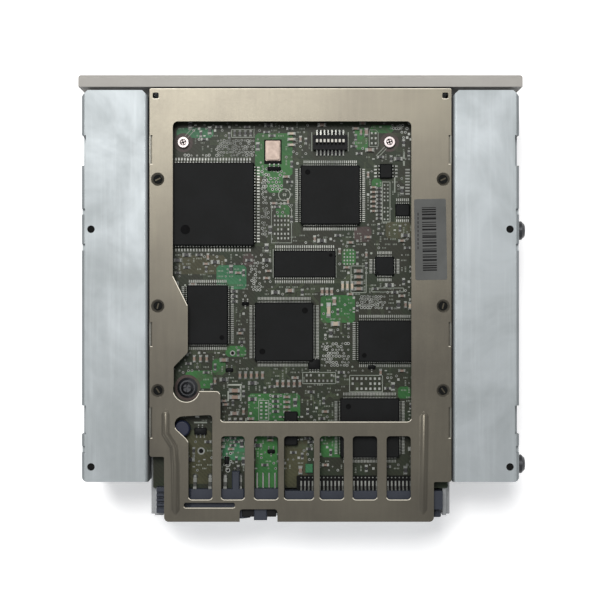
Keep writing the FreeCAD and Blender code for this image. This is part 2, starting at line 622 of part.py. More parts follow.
def bezel():
    body = block(-BEZEL_WIDTH / 2, BEZEL_WIDTH / 2, -BEZEL_THICKNESS, 0, 0, BEZEL_HEIGHT)
    front = [edge for edge in body.Edges if edge.BoundBox.YMax < -BEZEL_THICKNESS + 0.01]
    body = body.makeFillet(BEZEL_EDGE, front)
    parts = [body]
    for side in SIDES.values():
        inner_face = HALF_BAY - BRACKET_SHEET - CLIP_GAP
        parts.append(block(side * (inner_face - CLIP_THICKNESS), side * inner_face, -1, CLIP_LENGTH,
                           CLIP_Z - CLIP_WINDOW_HEIGHT / 2 + 0.5,
                           CLIP_Z + CLIP_WINDOW_HEIGHT / 2 - 0.5))
        parts.append(block(side * (inner_face - 0.2), side * (inner_face + CLIP_TOOTH),
                           CLIP_WINDOW_Y[0] + 0.3, CLIP_WINDOW_Y[1] - 0.3,
                           CLIP_Z - CLIP_WINDOW_HEIGHT / 2 + 0.5,
                           CLIP_Z + CLIP_WINDOW_HEIGHT / 2 - 0.5))
    shell = joined(parts)
    half_slot = SLOT_WIDTH / 2
    recess = slab_y([(-half_slot - RECESS_MARGIN, SLOT_Z - 2.2, 2.0),
                     (half_slot + RECESS_MARGIN, SLOT_Z - 2.2, 2.0),
                     (half_slot + RECESS_MARGIN, BUTTON_Z + RECESS_MARGIN, 2.0),
                     (-half_slot - RECESS_MARGIN, BUTTON_Z + RECESS_MARGIN, 2.0)],
                    -BEZEL_THICKNESS - 1, -BEZEL_THICKNESS + RECESS_DEPTH)
    thumb = Part.makeCylinder(9.0, 2.0, point(0, -BEZEL_THICKNESS - 0.6, SLOT_TOP - 1.0), ALONG_Y)
    cuts = [recess, thumb,
            block(-half_slot, half_slot, -BEZEL_THICKNESS - 1, 1, SLOT_Z, SLOT_TOP),
            block(-half_slot, half_slot, DOOR_FACE_Y - 0.5, 1, DOOR_FOOT - 0.6, SLOT_Z + 1),
            block(BUTTON_X - BUTTON_WIDTH / 2 - BUTTON_GAP, BUTTON_X + BUTTON_WIDTH / 2 + BUTTON_GAP,
                  -BEZEL_THICKNESS - 1, 1, BUTTON_Z - BUTTON_HEIGHT / 2 - BUTTON_GAP,
                  BUTTON_Z + BUTTON_HEIGHT / 2 + BUTTON_GAP)]
    for side in SIDES.values():
        bore_end = side * (half_slot + DOOR_PIN_LENGTH + 0.2)
        cuts.append(rod_x(side * (half_slot - 1), bore_end, HINGE_Y, HINGE_Z,
                          DOOR_PIN_RADIUS + HINGE_FIT))
        light = LIGHT_X + side * LIGHT_PITCH / 2
        cuts.append(block(light - LIGHT_WIDTH / 2 - SEAT_GAP, light + LIGHT_WIDTH / 2 + SEAT_GAP,
                          -BEZEL_THICKNESS - 1, 1, BUTTON_Z - LIGHT_HEIGHT / 2 - SEAT_GAP,
                          BUTTON_Z + LIGHT_HEIGHT / 2 + SEAT_GAP))
    return cut_all(shell, cuts)


write("bezel", [bezel()])


def cassette_door():
    half = SLOT_WIDTH / 2 - DOOR_GAP
    panel = block(-half, half, DOOR_FACE_Y, DOOR_FACE_Y + DOOR_THICKNESS, DOOR_FOOT,
                  SLOT_TOP - DOOR_GAP)
    hinge_edges = [edge for edge in panel.Edges if edge.BoundBox.ZMax < DOOR_FOOT + 0.01
                   and edge.BoundBox.XLength > SLOT_WIDTH / 2]
    panel = panel.makeFillet(DOOR_THICKNESS / 2 - 0.05, hinge_edges)
    pins = rod_x(-half - DOOR_PIN_LENGTH, half + DOOR_PIN_LENGTH, HINGE_Y, HINGE_Z, DOOR_PIN_RADIUS)
    rib = block(-half + 3, half - 3, DOOR_FACE_Y + DOOR_THICKNESS - 0.1,
                DOOR_FACE_Y + DOOR_THICKNESS + 0.5, SLOT_TOP - 3.2, SLOT_TOP - 2.0)
    return joined([panel, pins, rib])


write("cassette_door", [cassette_door()])


def eject_button():
    cap = block(BUTTON_X - BUTTON_WIDTH / 2, BUTTON_X + BUTTON_WIDTH / 2,
                -BEZEL_THICKNESS + RECESS_DEPTH - BUTTON_PROUD, 0.5,
                BUTTON_Z - BUTTON_HEIGHT / 2, BUTTON_Z + BUTTON_HEIGHT / 2)
    front = [edge for edge in cap.Edges if edge.BoundBox.YMax < -BEZEL_THICKNESS + 0.01]
    cap = cap.makeFillet(0.4, front)
    flange = block(BUTTON_X - BUTTON_WIDTH / 2 - 1, BUTTON_X + BUTTON_WIDTH / 2 + 1,
                   SEAT_GAP, BUTTON_FLANGE, BUTTON_Z - BUTTON_HEIGHT / 2 - 1,
                   BUTTON_Z + BUTTON_HEIGHT / 2 + 1)
    stem = rod_y(BUTTON_X, 0.5, FRONT_BOARD_Y - 1.4 - BUTTON_TRAVEL - 0.2, BUTTON_Z, 1.2)
    return joined([cap, flange, stem])


write("eject_button", [eject_button()])


def light_pipe(x):
    lens = block(x - LIGHT_WIDTH / 2, x + LIGHT_WIDTH / 2, -BEZEL_THICKNESS + RECESS_DEPTH - 0.2,
                 FRONT_BOARD_Y - 1.4, BUTTON_Z - LIGHT_HEIGHT / 2, BUTTON_Z + LIGHT_HEIGHT / 2)
    return lens


write("light_pipes", [light_pipe(LIGHT_X + side * LIGHT_PITCH / 2) for side in SIDES.values()])


def front_board():
    """Carries the eject switch and the two lamps; its lower edge stands against the deck."""
    low, high = FRONT_BOARD_Z
    board = block(-FRONT_BOARD_HALF, FRONT_BOARD_HALF, FRONT_BOARD_Y,
                  FRONT_BOARD_Y + FRONT_BOARD_SHEET, low, high)
    parts = [board, block(BUTTON_X - SWITCH_HALF, BUTTON_X + SWITCH_HALF, FRONT_BOARD_Y - 1.1,
                          FRONT_BOARD_Y + 0.1, BUTTON_Z - SWITCH_HALF, BUTTON_Z + SWITCH_HALF)]
    for side in SIDES.values():
        x = LIGHT_X + side * LIGHT_PITCH / 2
        parts.append(block(x - 1.0, x + 1.0, FRONT_BOARD_Y - 1.3, FRONT_BOARD_Y + 0.1,
                           BUTTON_Z - 0.7, BUTTON_Z + 0.7))
    parts.append(rod_y(BUTTON_X, FRONT_BOARD_Y - 1.4, FRONT_BOARD_Y, BUTTON_Z, 1.0))
    return joined(parts)


write("front_board", [front_board()])


# ---------------------------------------------------------------- deck plate
DECK_START = FRONT_BOARD_Y + FRONT_BOARD_SHEET
DECK_REAR_INSET = 17.0
DECK_END = BODY_LENGTH - DECK_REAR_INSET
DECK_CORNER = 2.0
STANDOFF_RADIUS = 2.6
BOARD_SCREW_PLACES = ((39.5, 17.9), (-30.0, 17.8))
BEARING_FIT = 0.05
REEL_SHAFT_RADIUS = 1.5
STUD_RADIUS = 0.9
ARM_LOW = DECK_Z - 7.5
ARM_SHEET = 2.0
ARM_BOSS_RADIUS = 2.2
GUIDE_TONGUE_RADIUS = 1.9
GUIDE_SLOT_FIT = 0.1
MOTOR_PLACE = (36.0, DRUM_Y + 20.0)
MOTOR_RADIUS = 6.0
MOTOR_HEIGHT = 17.0
GEAR_MODULE = 0.6
PINION_TEETH = 8
GEAR_TEETH = 32
GEAR_LOW = DECK_TOP + 1.3
GEAR_SHEET = 1.4
GEAR_STUD_RADIUS = 1.5
CAPSTAN_SLEEVE_RADIUS = 2.4
DRUM_HOLE_RADIUS = 6.0
GEAR_PLACE = (MOTOR_PLACE[0] - GEAR_MODULE * (PINION_TEETH + GEAR_TEETH) / 2, MOTOR_PLACE[1])


def guide_slot(side, radius, z0, z1):
    """A straight slot with round ends along one tape guide's path."""
    start = point(GUIDE_START[0], GUIDE_START[1])
    finish = point(GUIDE_END[0], GUIDE_END[1])
    across = (finish - start).normalize().cross(UP) * radius
    corners = [start + across, finish + across, finish - across, start - across]
    path = Part.makePolygon([corner + UP * z0 for corner in corners + corners[:1]])
    middle = Part.Face(path).extrude(UP * (z1 - z0))
    slot = joined([middle, post(start.x, start.y, z0, z1, radius),
                   post(finish.x, finish.y, z0, z1, radius)])
    return flipped(slot, side)


def deck_plate():
    half = FRAME_INNER - SEAT_GAP
    parts = [rounded(-half, half, DECK_START, DECK_END, DECK_Z, DECK_TOP, DECK_CORNER)]
    for x, y in BOARD_SCREW_PLACES + (GROUND_SCREW,):
        parts.append(post(x, y, DECK_TOP - 0.2, BOARD_Z, STANDOFF_RADIUS))
    for side in SIDES.values():
        parts.append(post(side * ARM_PIVOT[0], ARM_PIVOT[1], ARM_LOW - 0.8, DECK_Z + 0.2,
                          STUD_RADIUS))
    parts.append(post(GEAR_PLACE[0], GEAR_PLACE[1], DECK_TOP - 0.2, GEAR_LOW + GEAR_SHEET + 0.6,
                      GEAR_STUD_RADIUS))
    deck = joined(parts)
    low = DECK_Z - 1
    high = DECK_TOP + 1
    cuts = [post(0, DRUM_Y, low, high, DRUM_HOLE_RADIUS),
            post(CAPSTAN_PLACE[0], CAPSTAN_PLACE[1], low, high, CAPSTAN_SLEEVE_RADIUS + SEAT_GAP),
            post(MOTOR_PLACE[0], MOTOR_PLACE[1], low, high, 1.6)]
    for x, y in BOARD_SCREW_PLACES + (GROUND_SCREW,):
        cuts.append(post(x, y, DECK_TOP + 0.5, BOARD_Z + 1, TAP_RADIUS + SEAT_GAP))
    for side in SIDES.values():
        cuts.append(post(side * REEL_PITCH / 2, REEL_Y, low, high, REEL_SHAFT_RADIUS + BEARING_FIT))
        cuts.append(guide_slot(side, GUIDE_TONGUE_RADIUS + GUIDE_SLOT_FIT, low, high))
        for y in PAD_YS:
            cuts.append(post(side * PAD_SCREW_X, y, low, high, TAP_RADIUS + 2 * SEAT_GAP))
    return cut_all(deck, cuts)


write("deck_plate", [deck_plate()])

DECK_HEAD_RADIUS = 1.9
deck_screw = pan_screw(TAP_RADIUS, DECK_HEAD_RADIUS, 1.3, 4.4, recess=False)
chassis_screws += [placed_screw(deck_screw, side * PAD_SCREW_X, y, DECK_Z, -UP)
                   for side in SIDES.values() for y in PAD_YS]
write("chassis_screws", chassis_screws)


# ---------------------------------------------------------------- cassette loader
# The holder carries the cassette: it slides in with the carriage, then moves onto the reels.
RAIL_INNER = 40.2
RAIL_SHEET = 1.0
RAIL_SPAN = (13.0, 66.0)
CARRIAGE_INNER = 38.4
CARRIAGE_SHEET = 1.0
PIN_RADIUS = 1.0
PIN_FIT = 0.1
CARRIAGE_PIN_YS = (HOLDER_START + 3.0, HOLDER_START + HOLDER_LENGTH - 1.0)
CARRIAGE_PIN_Z = 9.0
HOLDER_PIN_YS = (HOLDER_START + 10.0, HOLDER_START + 20.0)
HOLDER_PIN_Z = 11.0
HOLDER_INNER = CASSETTE_WIDTH / 2 + CASSETTE_CLEARANCE
HOLDER_OUTER = HOLDER_INNER + HOLDER_SHEET
HOLDER_CEILING = CASSETTE_Z - CASSETTE_CLEARANCE
HOLDER_LEDGE = CASSETTE_Z + CASSETTE_HEIGHT + CASSETTE_CLEARANCE
LEDGE_WIDTH = 6.0
CARRIAGE_LOW = HOLDER_CEILING - HOLDER_SHEET - 0.9
HOLDER_END = HOLDER_START + HOLDER_LENGTH


def loader_rail(side):
    rail = block(RAIL_INNER, RAIL_INNER + RAIL_SHEET, RAIL_SPAN[0], RAIL_SPAN[1], 5.0, DECK_Z)
    foot = block(RAIL_INNER, RAIL_INNER + 3.0, RAIL_SPAN[0] + 12, RAIL_SPAN[1] - 6,
                 DECK_Z - RAIL_SHEET, DECK_Z)
    cuts = []
    for y in CARRIAGE_PIN_YS:
        reach = PIN_RADIUS + PIN_FIT
        cuts.append(block(RAIL_INNER - 1, RAIL_INNER + RAIL_SHEET + 1, y - reach,
                          y + LOADER_TRAVEL + reach, CARRIAGE_PIN_Z - reach,
                          CARRIAGE_PIN_Z + reach))
    return flipped(cut_all(joined([rail, foot]), cuts), side)


write("loader_rails", [loader_rail(side) for side in SIDES.values()])


def loader_carriage():
    parts = []
    outer = CARRIAGE_INNER + CARRIAGE_SHEET
    for side in SIDES.values():
        parts.append(block(side * CARRIAGE_INNER, side * outer, HOLDER_START, HOLDER_END + 2,
                           CARRIAGE_LOW, DECK_Z - 1.4))
        for y in CARRIAGE_PIN_YS:
            parts.append(rod_x(side * (outer - 0.2), side * (RAIL_INNER + RAIL_SHEET - 0.1), y,
                               CARRIAGE_PIN_Z, PIN_RADIUS))
    parts.append(block(-outer, outer, HOLDER_END - 8, HOLDER_END, CARRIAGE_LOW,
                       CARRIAGE_LOW + HOLDER_SHEET))
    carriage = joined(parts)
    cuts = []
    reach = PIN_RADIUS + PIN_FIT
    for side in SIDES.values():
        for y in HOLDER_PIN_YS:
            cuts.append(block(side * (CARRIAGE_INNER - 1), side * (outer + 0.5), y - reach,
                              y + reach, HOLDER_PIN_Z - reach, HOLDER_PIN_Z + HOLDER_TRAVEL + reach))
    return cut_all(carriage, cuts)


write("loader_carriage", [loader_carriage()])


def cassette_holder():
    profile = [(-HOLDER_OUTER, HOLDER_CEILING - HOLDER_SHEET, 0),
               (HOLDER_OUTER, HOLDER_CEILING - HOLDER_SHEET, 0),
               (HOLDER_OUTER, HOLDER_LEDGE + HOLDER_SHEET, 0),
               (HOLDER_INNER - LEDGE_WIDTH, HOLDER_LEDGE + HOLDER_SHEET, 0),
               (HOLDER_INNER - LEDGE_WIDTH, HOLDER_LEDGE, 0), (HOLDER_INNER, HOLDER_LEDGE, 0),
               (HOLDER_INNER, HOLDER_CEILING, 0), (-HOLDER_INNER, HOLDER_CEILING, 0),
               (-HOLDER_INNER, HOLDER_LEDGE, 0), (-HOLDER_INNER + LEDGE_WIDTH, HOLDER_LEDGE, 0),
               (-HOLDER_INNER + LEDGE_WIDTH, HOLDER_LEDGE + HOLDER_SHEET, 0),
               (-HOLDER_OUTER, HOLDER_LEDGE + HOLDER_SHEET, 0)]
    parts = [slab_y(profile, HOLDER_START, HOLDER_END)]
    for side in SIDES.values():
        for y in HOLDER_PIN_YS:
            parts.append(rod_x(side * (HOLDER_OUTER - 0.2),
                               side * (CARRIAGE_INNER + CARRIAGE_SHEET - 0.1), y, HOLDER_PIN_Z,
                               PIN_RADIUS))
    window = rounded(-22, 22, HOLDER_START + 6, HOLDER_END - 10, HOLDER_CEILING - 2,
                     HOLDER_CEILING + 1, 2.0)
    return joined(parts).cut(window)


write("cassette_holder", [cassette_holder()])


# ---------------------------------------------------------------- reel tables
REEL_FLANGE_Z = DECK_Z - 1.7
REEL_FLANGE_SHEET = 1.0
REEL_HUB_RADIUS = 4.2
SPINDLE_LENGTH = 6.9
SPLINE_COUNT = 3
SPLINE_REACH = 0.7


def reel_table(side):
    x = side * REEL_PITCH / 2
    top = REEL_FLANGE_Z + REEL_FLANGE_SHEET
    hub_low = REEL_FLANGE_Z - 1.3
    spindle_low = REEL_FLANGE_Z - SPINDLE_LENGTH
    parts = [post(x, REEL_Y, REEL_FLANGE_Z, top, REEL_TABLE_RADIUS),
             post(x, REEL_Y, hub_low, REEL_FLANGE_Z, REEL_HUB_RADIUS),
             post(x, REEL_Y, spindle_low + 1.5, hub_low, REEL_SPINDLE_RADIUS),
             Part.makeCone(REEL_SPINDLE_RADIUS * 0.4, REEL_SPINDLE_RADIUS, 1.5,
                           point(x, REEL_Y, spindle_low), UP),
             post(x, REEL_Y, top, DECK_TOP - 0.1, REEL_SHAFT_RADIUS)]
    for index in range(SPLINE_COUNT):
        spline = block(x, x + REEL_SPINDLE_RADIUS + SPLINE_REACH, REEL_Y - 0.4, REEL_Y + 0.4,
                       spindle_low + 1.5, hub_low + 0.2)
        parts.append(turned(spline, 360 * index / SPLINE_COUNT, (x, REEL_Y)))
    table = joined(parts)
    teeth = [turned(block(x + REEL_TABLE_RADIUS - 0.5, x + REEL_TABLE_RADIUS + 1, REEL_Y - 0.45,
                          REEL_Y + 0.45, REEL_FLANGE_Z - 1, top + 0.01), 360 * index / 24,
                    (x, REEL_Y)) for index in range(24)]
    return cut_all(table, teeth)


write("takeup_reel_table", [reel_table(SIDES["left"])])
write("supply_reel_table", [reel_table(SIDES["right"])])


# ---------------------------------------------------------------- head drum
DRUM_SHAFT_RADIUS = 2.0
DRUM_ROTOR_RADIUS = 12.0
ROTOR_LOW = DECK_TOP + 1.9
ROTOR_SHEET = 2.8
STATOR_SHEET = 1.3
HEAD_COUNT = 4
LOWER_DRUM_TOP = DECK_Z - LOWER_DRUM_HEIGHT
DRUM_LOW = DECK_Z - DRUM_HEIGHT


def lower_drum():
    drum = post(0, DRUM_Y, LOWER_DRUM_TOP, DECK_Z, DRUM_RADIUS)
    spigot = post(0, DRUM_Y, DECK_Z - 0.2, DECK_TOP, DRUM_HOLE_RADIUS - SEAT_GAP)
    # the step that guides the lower edge of the tape
    groove = post(0, DRUM_Y, DECK_Z - 3.0, DECK_Z - 1.6, DRUM_RADIUS + 1)
    groove = groove.cut(post(0, DRUM_Y, DECK_Z - 3.1, DECK_Z - 1.5, DRUM_RADIUS - 0.8))
    bore = post(0, DRUM_Y, LOWER_DRUM_TOP - 1, DECK_TOP + 1, DRUM_SHAFT_RADIUS + BEARING_FIT)
    return cut_all(joined([drum, spigot]), [groove, bore])


def upper_drum():
    top = LOWER_DRUM_TOP - DRUM_SLIT
    drum = post(0, DRUM_Y, DRUM_LOW, top, DRUM_RADIUS)
    drum = drum.makeChamfer(0.5, [edge for edge in drum.Edges if edge.BoundBox.ZMax < DRUM_LOW + 0.1])
    cuts = [post(0, DRUM_Y, DRUM_LOW - 1, DRUM_LOW + 1.5, DRUM_RADIUS * 0.55)]
    for index in range(HEAD_COUNT):
        window = block(DRUM_RADIUS - 1.2, DRUM_RADIUS + 1, DRUM_Y - 1.0, DRUM_Y + 1.0,
                       top - 1.6, top + 1)
        cuts.append(turned(window, 360 * index / HEAD_COUNT, (0, DRUM_Y)))
    drum = cut_all(drum, cuts)
    shaft = post(0, DRUM_Y, DRUM_LOW + 2, ROTOR_LOW + 0.5, DRUM_SHAFT_RADIUS)
    rotor = post(0, DRUM_Y, ROTOR_LOW, ROTOR_LOW + ROTOR_SHEET, DRUM_ROTOR_RADIUS)
    return joined([drum, shaft, rotor])


def drum_stator():
    ring = post(0, DRUM_Y, DECK_TOP, DECK_TOP + STATOR_SHEET, DRUM_ROTOR_RADIUS + 1)
    return ring.cut(post(0, DRUM_Y, DECK_TOP - 1, DECK_TOP + 3, DRUM_SHAFT_RADIUS + 1))


write("lower_drum", [lower_drum()])
write("upper_drum", [upper_drum()])
write("drum_stator", [drum_stator()])


# ---------------------------------------------------------------- capstan, pinch roller, arms
CAPSTAN_LOW = 9.0
CAPSTAN_PLATE_RADIUS = 4.2
ROLLER_LOW = CAPSTAN_LOW + 0.6
ROLLER_HIGH = ARM_LOW - 0.7


def capstan_bearing():
    x, y = CAPSTAN_PLACE
    sleeve = post(x, y, DECK_Z - 8.0, DECK_TOP, CAPSTAN_SLEEVE_RADIUS)
    plate = post(x, y, DECK_TOP, DECK_TOP + STATOR_SHEET, CAPSTAN_PLATE_RADIUS)
    bore = post(x, y, 0, BOARD_Z, CAPSTAN_RADIUS + BEARING_FIT)
    return joined([sleeve, plate]).cut(bore)


def capstan():
    x, y = CAPSTAN_PLACE
    shaft = post(x, y, CAPSTAN_LOW, ROTOR_LOW + 0.5, CAPSTAN_RADIUS)
    rotor = post(x, y, ROTOR_LOW, ROTOR_LOW + ROTOR_SHEET, CAPSTAN_ROTOR_RADIUS)
    return joined([shaft, rotor])


write("capstan_bearing", [capstan_bearing()])
write("capstan", [capstan()])


def arm_tip(side):
    """The far end of a swing arm at rest; the arms lean outward from the front."""
    angle = math.radians(ARM_REST_ANGLE)
    return (side * (ARM_PIVOT[0] - ARM_LENGTH * math.cos(angle)),
            ARM_PIVOT[1] - ARM_LENGTH * math.sin(angle))


def swing_arm(side, pin_radius, pin_low):
    """An arm on a deck stud: a boss, a bar and an upright pin or post at its end."""
    x, y = side * ARM_PIVOT[0], ARM_PIVOT[1]
    tip_x, tip_y = arm_tip(side)
    bar = block(x, x + ARM_LENGTH, y - 1.5, y + 1.5, ARM_LOW, ARM_LOW + ARM_SHEET)
    bar = turned(bar, math.degrees(math.atan2(tip_y - y, tip_x - x)), (x, y))
    parts = [post(x, y, ARM_LOW, DECK_Z - RUNNING_GAP, ARM_BOSS_RADIUS), bar,
             post(tip_x, tip_y, ARM_LOW, ARM_LOW + ARM_SHEET, 2.0),
             post(tip_x, tip_y, pin_low, ARM_LOW + 0.2, pin_radius)]
    return joined(parts).cut(post(x, y, 0, DECK_Z, STUD_RADIUS + BEARING_FIT))


def pinch_roller():
    x, y = arm_tip(-1)
    roller = post(x, y, ROLLER_LOW, ROLLER_HIGH, PINCH_ROLLER_RADIUS)
    return roller.cut(post(x, y, 0, DECK_Z, STUD_RADIUS + BEARING_FIT))


write("pinch_arm", [swing_arm(-1, STUD_RADIUS, ROLLER_LOW - 0.3)])
write("tension_arm", [swing_arm(1, POST_RADIUS, ROLLER_LOW)])
write("pinch_roller", [pinch_roller()])


# ---------------------------------------------------------------- tape guides and loading gear
def guide_carriage(side):
    x, y = GUIDE_START
    boat_high = DECK_Z - RUNNING_GAP
    boat_low = boat_high - 1.6
    parts = [post(x, y, boat_low, boat_high, GUIDE_BOAT_RADIUS),
             post(x, y, boat_low - 12.0, boat_low + 0.2, GUIDE_ROLLER_RADIUS),
             post(x, y, boat_low - 13.0, boat_low - 12.0, GUIDE_ROLLER_RADIUS + 0.7),
             post(x, y, boat_high - 0.2, DECK_TOP + RUNNING_GAP + 0.1, GUIDE_TONGUE_RADIUS),
             post(x, y, DECK_TOP + RUNNING_GAP, DECK_TOP + RUNNING_GAP + 0.7,
                  GUIDE_BOAT_RADIUS - 0.2)]
    return flipped(joined(parts), side)


write("guide_carriage_left", [guide_carriage(-1)])
write("guide_carriage_right", [guide_carriage(1)])

TOOTH_SHARE = 0.34
ADDENDUM = 0.75
DEDENDUM = 1.1


def spur_gear(centre, teeth, z0, z1, first_angle):
    """A spur gear with straight-sided teeth that are narrower than their gaps."""
    pitch_radius = GEAR_MODULE * teeth / 2
    root = pitch_radius - GEAR_MODULE * DEDENDUM
    tip = pitch_radius + GEAR_MODULE * ADDENDUM
    half = math.pi * GEAR_MODULE * TOOTH_SHARE / 2
    tooth = slab([(root - 0.3, -half * 1.5, 0), (tip, -half * 0.6, 0), (tip, half * 0.6, 0),
                  (root - 0.3, half * 1.5, 0)], z0, z1)
    parts = [Part.makeCylinder(root, z1 - z0, point(0, 0, z0), UP)]
    for index in range(teeth):
        parts.append(turned(tooth, first_angle + 360 * index / teeth, (0, 0)))
    gear = joined(parts)
    gear.translate(point(centre[0], centre[1]))
    return gear


def loading_gear():
    high = GEAR_LOW + GEAR_SHEET
    gear = spur_gear(GEAR_PLACE, GEAR_TEETH, GEAR_LOW, high, 0)
    cuts = [post(GEAR_PLACE[0], GEAR_PLACE[1], 0, BOARD_Z, GEAR_STUD_RADIUS + BEARING_FIT)]
    for index in range(4):
        hole = post(GEAR_PLACE[0] + 5.0, GEAR_PLACE[1], 0, BOARD_Z, 1.6)
        cuts.append(turned(hole, 45 + 90 * index, GEAR_PLACE))
    return cut_all(gear, cuts)


def motor_pinion():
    low = GEAR_LOW - 0.1
    high = GEAR_LOW + GEAR_SHEET + 0.1
    # half a tooth of turn puts a gap of the pinion opposite a tooth of the gear
    pinion = spur_gear(MOTOR_PLACE, PINION_TEETH, low, high, 180 / PINION_TEETH)
    shaft = post(MOTOR_PLACE[0], MOTOR_PLACE[1], DECK_Z + 0.2, high, 0.9)
    return joined([pinion, shaft])


def loading_motor():
    x, y = MOTOR_PLACE
    can = post(x, y, DECK_Z - MOTOR_HEIGHT, DECK_Z, MOTOR_RADIUS)
    can = can.makeChamfer(1.0, [edge for edge in can.Edges
                                if edge.BoundBox.ZMax < DECK_Z - MOTOR_HEIGHT + 0.1])
    return can.cut(post(x, y, DECK_Z - 4, DECK_Z + 1, 1.1))


write("loading_gear", [loading_gear()])
write("motor_pinion", [motor_pinion()])
write("loading_motor", [loading_motor()])


# ---------------------------------------------------------------- main board
BOARD_START = 7.0
BOARD_END = BODY_LENGTH - 10.6
BOARD_HALF = 48.4
BOARD_WIDE_HALF = 49.7
BOARD_WIDE_GAP = 0.3
POST_NOTCH = 0.4
BOARD_SCREW_CLEARANCE = 1.7


def main_board():
    left_wide = PLATE_STEP["left"][0] + BOARD_WIDE_GAP
    right_wide = PLATE_STEP["right"][0] + BOARD_WIDE_GAP
    board = slab([(-BOARD_HALF, BOARD_START, 1.0), (BOARD_HALF, BOARD_START, 1.0),
                  (BOARD_HALF, right_wide, 0), (BOARD_WIDE_HALF, right_wide, 0.5),
                  (BOARD_WIDE_HALF, BOARD_END, 0.5), (-BOARD_WIDE_HALF, BOARD_END, 0.5),
                  (-BOARD_WIDE_HALF, left_wide, 0.5), (-BOARD_HALF, left_wide, 0)],
                 BOARD_Z, BOARD_TOP)
    cuts = []
    for side in SIDES.values():
        for y in FRAME_HOLE_YS:
            cuts.append(block(side * (BOSS_INNER - POST_NOTCH), side * (BOARD_HALF + 1),
                              y - BOSS_HALF - POST_NOTCH, y + BOSS_HALF + POST_NOTCH,
                              BOARD_Z - 1, BOARD_TOP + 1))
        for y in PLATE_HOLE_YS:
            reach = PLATE_POST_RADIUS + POST_NOTCH
            cuts.append(post(side * PLATE_HOLE_X, y, BOARD_Z - 1, BOARD_TOP + 1, reach))
            cuts.append(block(side * PLATE_HOLE_X, side * (BOARD_HALF + 1), y - reach, y + reach,
                              BOARD_Z - 1, BOARD_TOP + 1))
    for x, y in BOARD_SCREW_PLACES + (GROUND_SCREW,):
        cuts.append(post(x, y, BOARD_Z - 1, BOARD_TOP + 1, BOARD_SCREW_CLEARANCE))
    return cut_all(board, cuts)


write("main_board", [main_board()])

board_screw = pan_screw(TAP_RADIUS, 2.3, 1.4, BOARD_THICKNESS + 3.0)
write("board_screws", [placed_screw(board_screw, x, y, BOARD_TOP, UP)
                       for x, y in BOARD_SCREW_PLACES])


def ground_screw():
    """A black screw with a wide flange under its head."""
    head = pan_screw(TAP_RADIUS, 2.1, 2.2, BOARD_THICKNESS + 3.0)
    flange = Part.makeCone(3.5, 2.6, 0.7, point(0, 0, 0), UP)
    flange = flange.cut(Part.makeCylinder(1.0, 1.0, point(0, 0, 0), UP))
    return placed_screw(joined([head, flange]), GROUND_SCREW[0], GROUND_SCREW[1], BOARD_TOP, UP)


write("ground_screw", [ground_screw()])


# ---------------------------------------------------------------- chips
CHIP_STANDOFF = 0.25
LEAD_SHEET = 0.45
LEAD_REACH = 1.5
DIMPLE_DEPTH = 0.12
BODY_CHAMFER = 0.3


def chip(x, y, width, depth, height, lead_sides, dimples=()):
    """A moulded body standing on a bank of leads along each leaded side."""
    low = BOARD_TOP + CHIP_STANDOFF
    high = BOARD_TOP + height
    body = block(x - width / 2, x + width / 2, y - depth / 2, y + depth / 2, low, high)
    top_edges = [edge for edge in body.Edges if edge.BoundBox.ZMin > high - 0.01]
    body = body.makeChamfer(BODY_CHAMFER, top_edges)
    parts = [body]
    margin = 1.2
    bank_high = BOARD_TOP + CHIP_STANDOFF + LEAD_SHEET
    if "x" in lead_sides:
        parts.append(block(x - width / 2 - LEAD_REACH, x + width / 2 + LEAD_REACH,
                           y - depth / 2 + margin, y + depth / 2 - margin, BOARD_TOP, bank_high))
    if "y" in lead_sides:
        parts.append(block(x - width / 2 + margin, x + width / 2 - margin,
                           y - depth / 2 - LEAD_REACH, y + depth / 2 + LEAD_REACH,
                           BOARD_TOP, bank_high))
    whole = joined(parts)
    cuts = []
    for across, along, radius in dimples:
        cuts.append(post(x + across, y + along, high - DIMPLE_DEPTH, high + 1, radius))
    return cut_all(whole, cuts)


FIRST_ROW_Y = 38.8
LAST_ROW_Y = WINDOW_BOTTOM + 2.4


def row_y(share):
    """A row of chips between the first row and the last one, as a share of the way."""
    return FIRST_ROW_Y + share * (LAST_ROW_Y - FIRST_ROW_Y)


# name: x, y, width, depth, height, leaded sides, dimples as (x, y, radius) from the middle
CHIPS = {
    "controller_chip": (29.5, FIRST_ROW_Y, 28.0, 28.0, 3.4, "xy", ((9.1, 8.6, 1.6),)),
    "processor_chip": (-10.0, 35.7, 20.0, 20.0, 2.9, "xy", ((7.6, -7.6, 0.9),)),
    "memory_chip": (-1.4, row_y(0.26729), 21.0, 9.2, 1.1, "y", ((-8.8, -3.0, 0.6),)),
    "servo_chip": (31.3, row_y(0.49468), 14.0, 20.0, 2.7, "xy", ((-4.9, 7.6, 0.8),)),
    "signal_chip": (5.5, row_y(0.57048), 19.8, 19.8, 2.4, "xy", ((7.3, 6.6, 1.0), (-7.0, -7.2, 1.0))),
    "codec_chip": (-29.4, row_y(0.6117), 20.0, 14.0, 2.7, "xy", ((8.0, 4.8, 0.8),)),
    "interface_chip": (-23.3, LAST_ROW_Y, 20.0, 20.0, 2.4, "xy", ((7.2, -7.2, 0.9),)),
}
for name, sizes in CHIPS.items():
    write(name, [chip(*sizes)])

SMALL_CHIPS = ((-28.3, row_y(0.2766), 6.5, 6.5, 1.4, "xy"), (-28.8, 27.6, 4.4, 4.9, 1.6, "x"),
               (-34.4, 40.7, 5.0, 4.4, 1.1, "y"), (3.2, LAST_ROW_Y + 0.2, 4.6, 11.5, 2.2, "x"))
write("small_chips", [chip(*sizes) for sizes in SMALL_CHIPS])


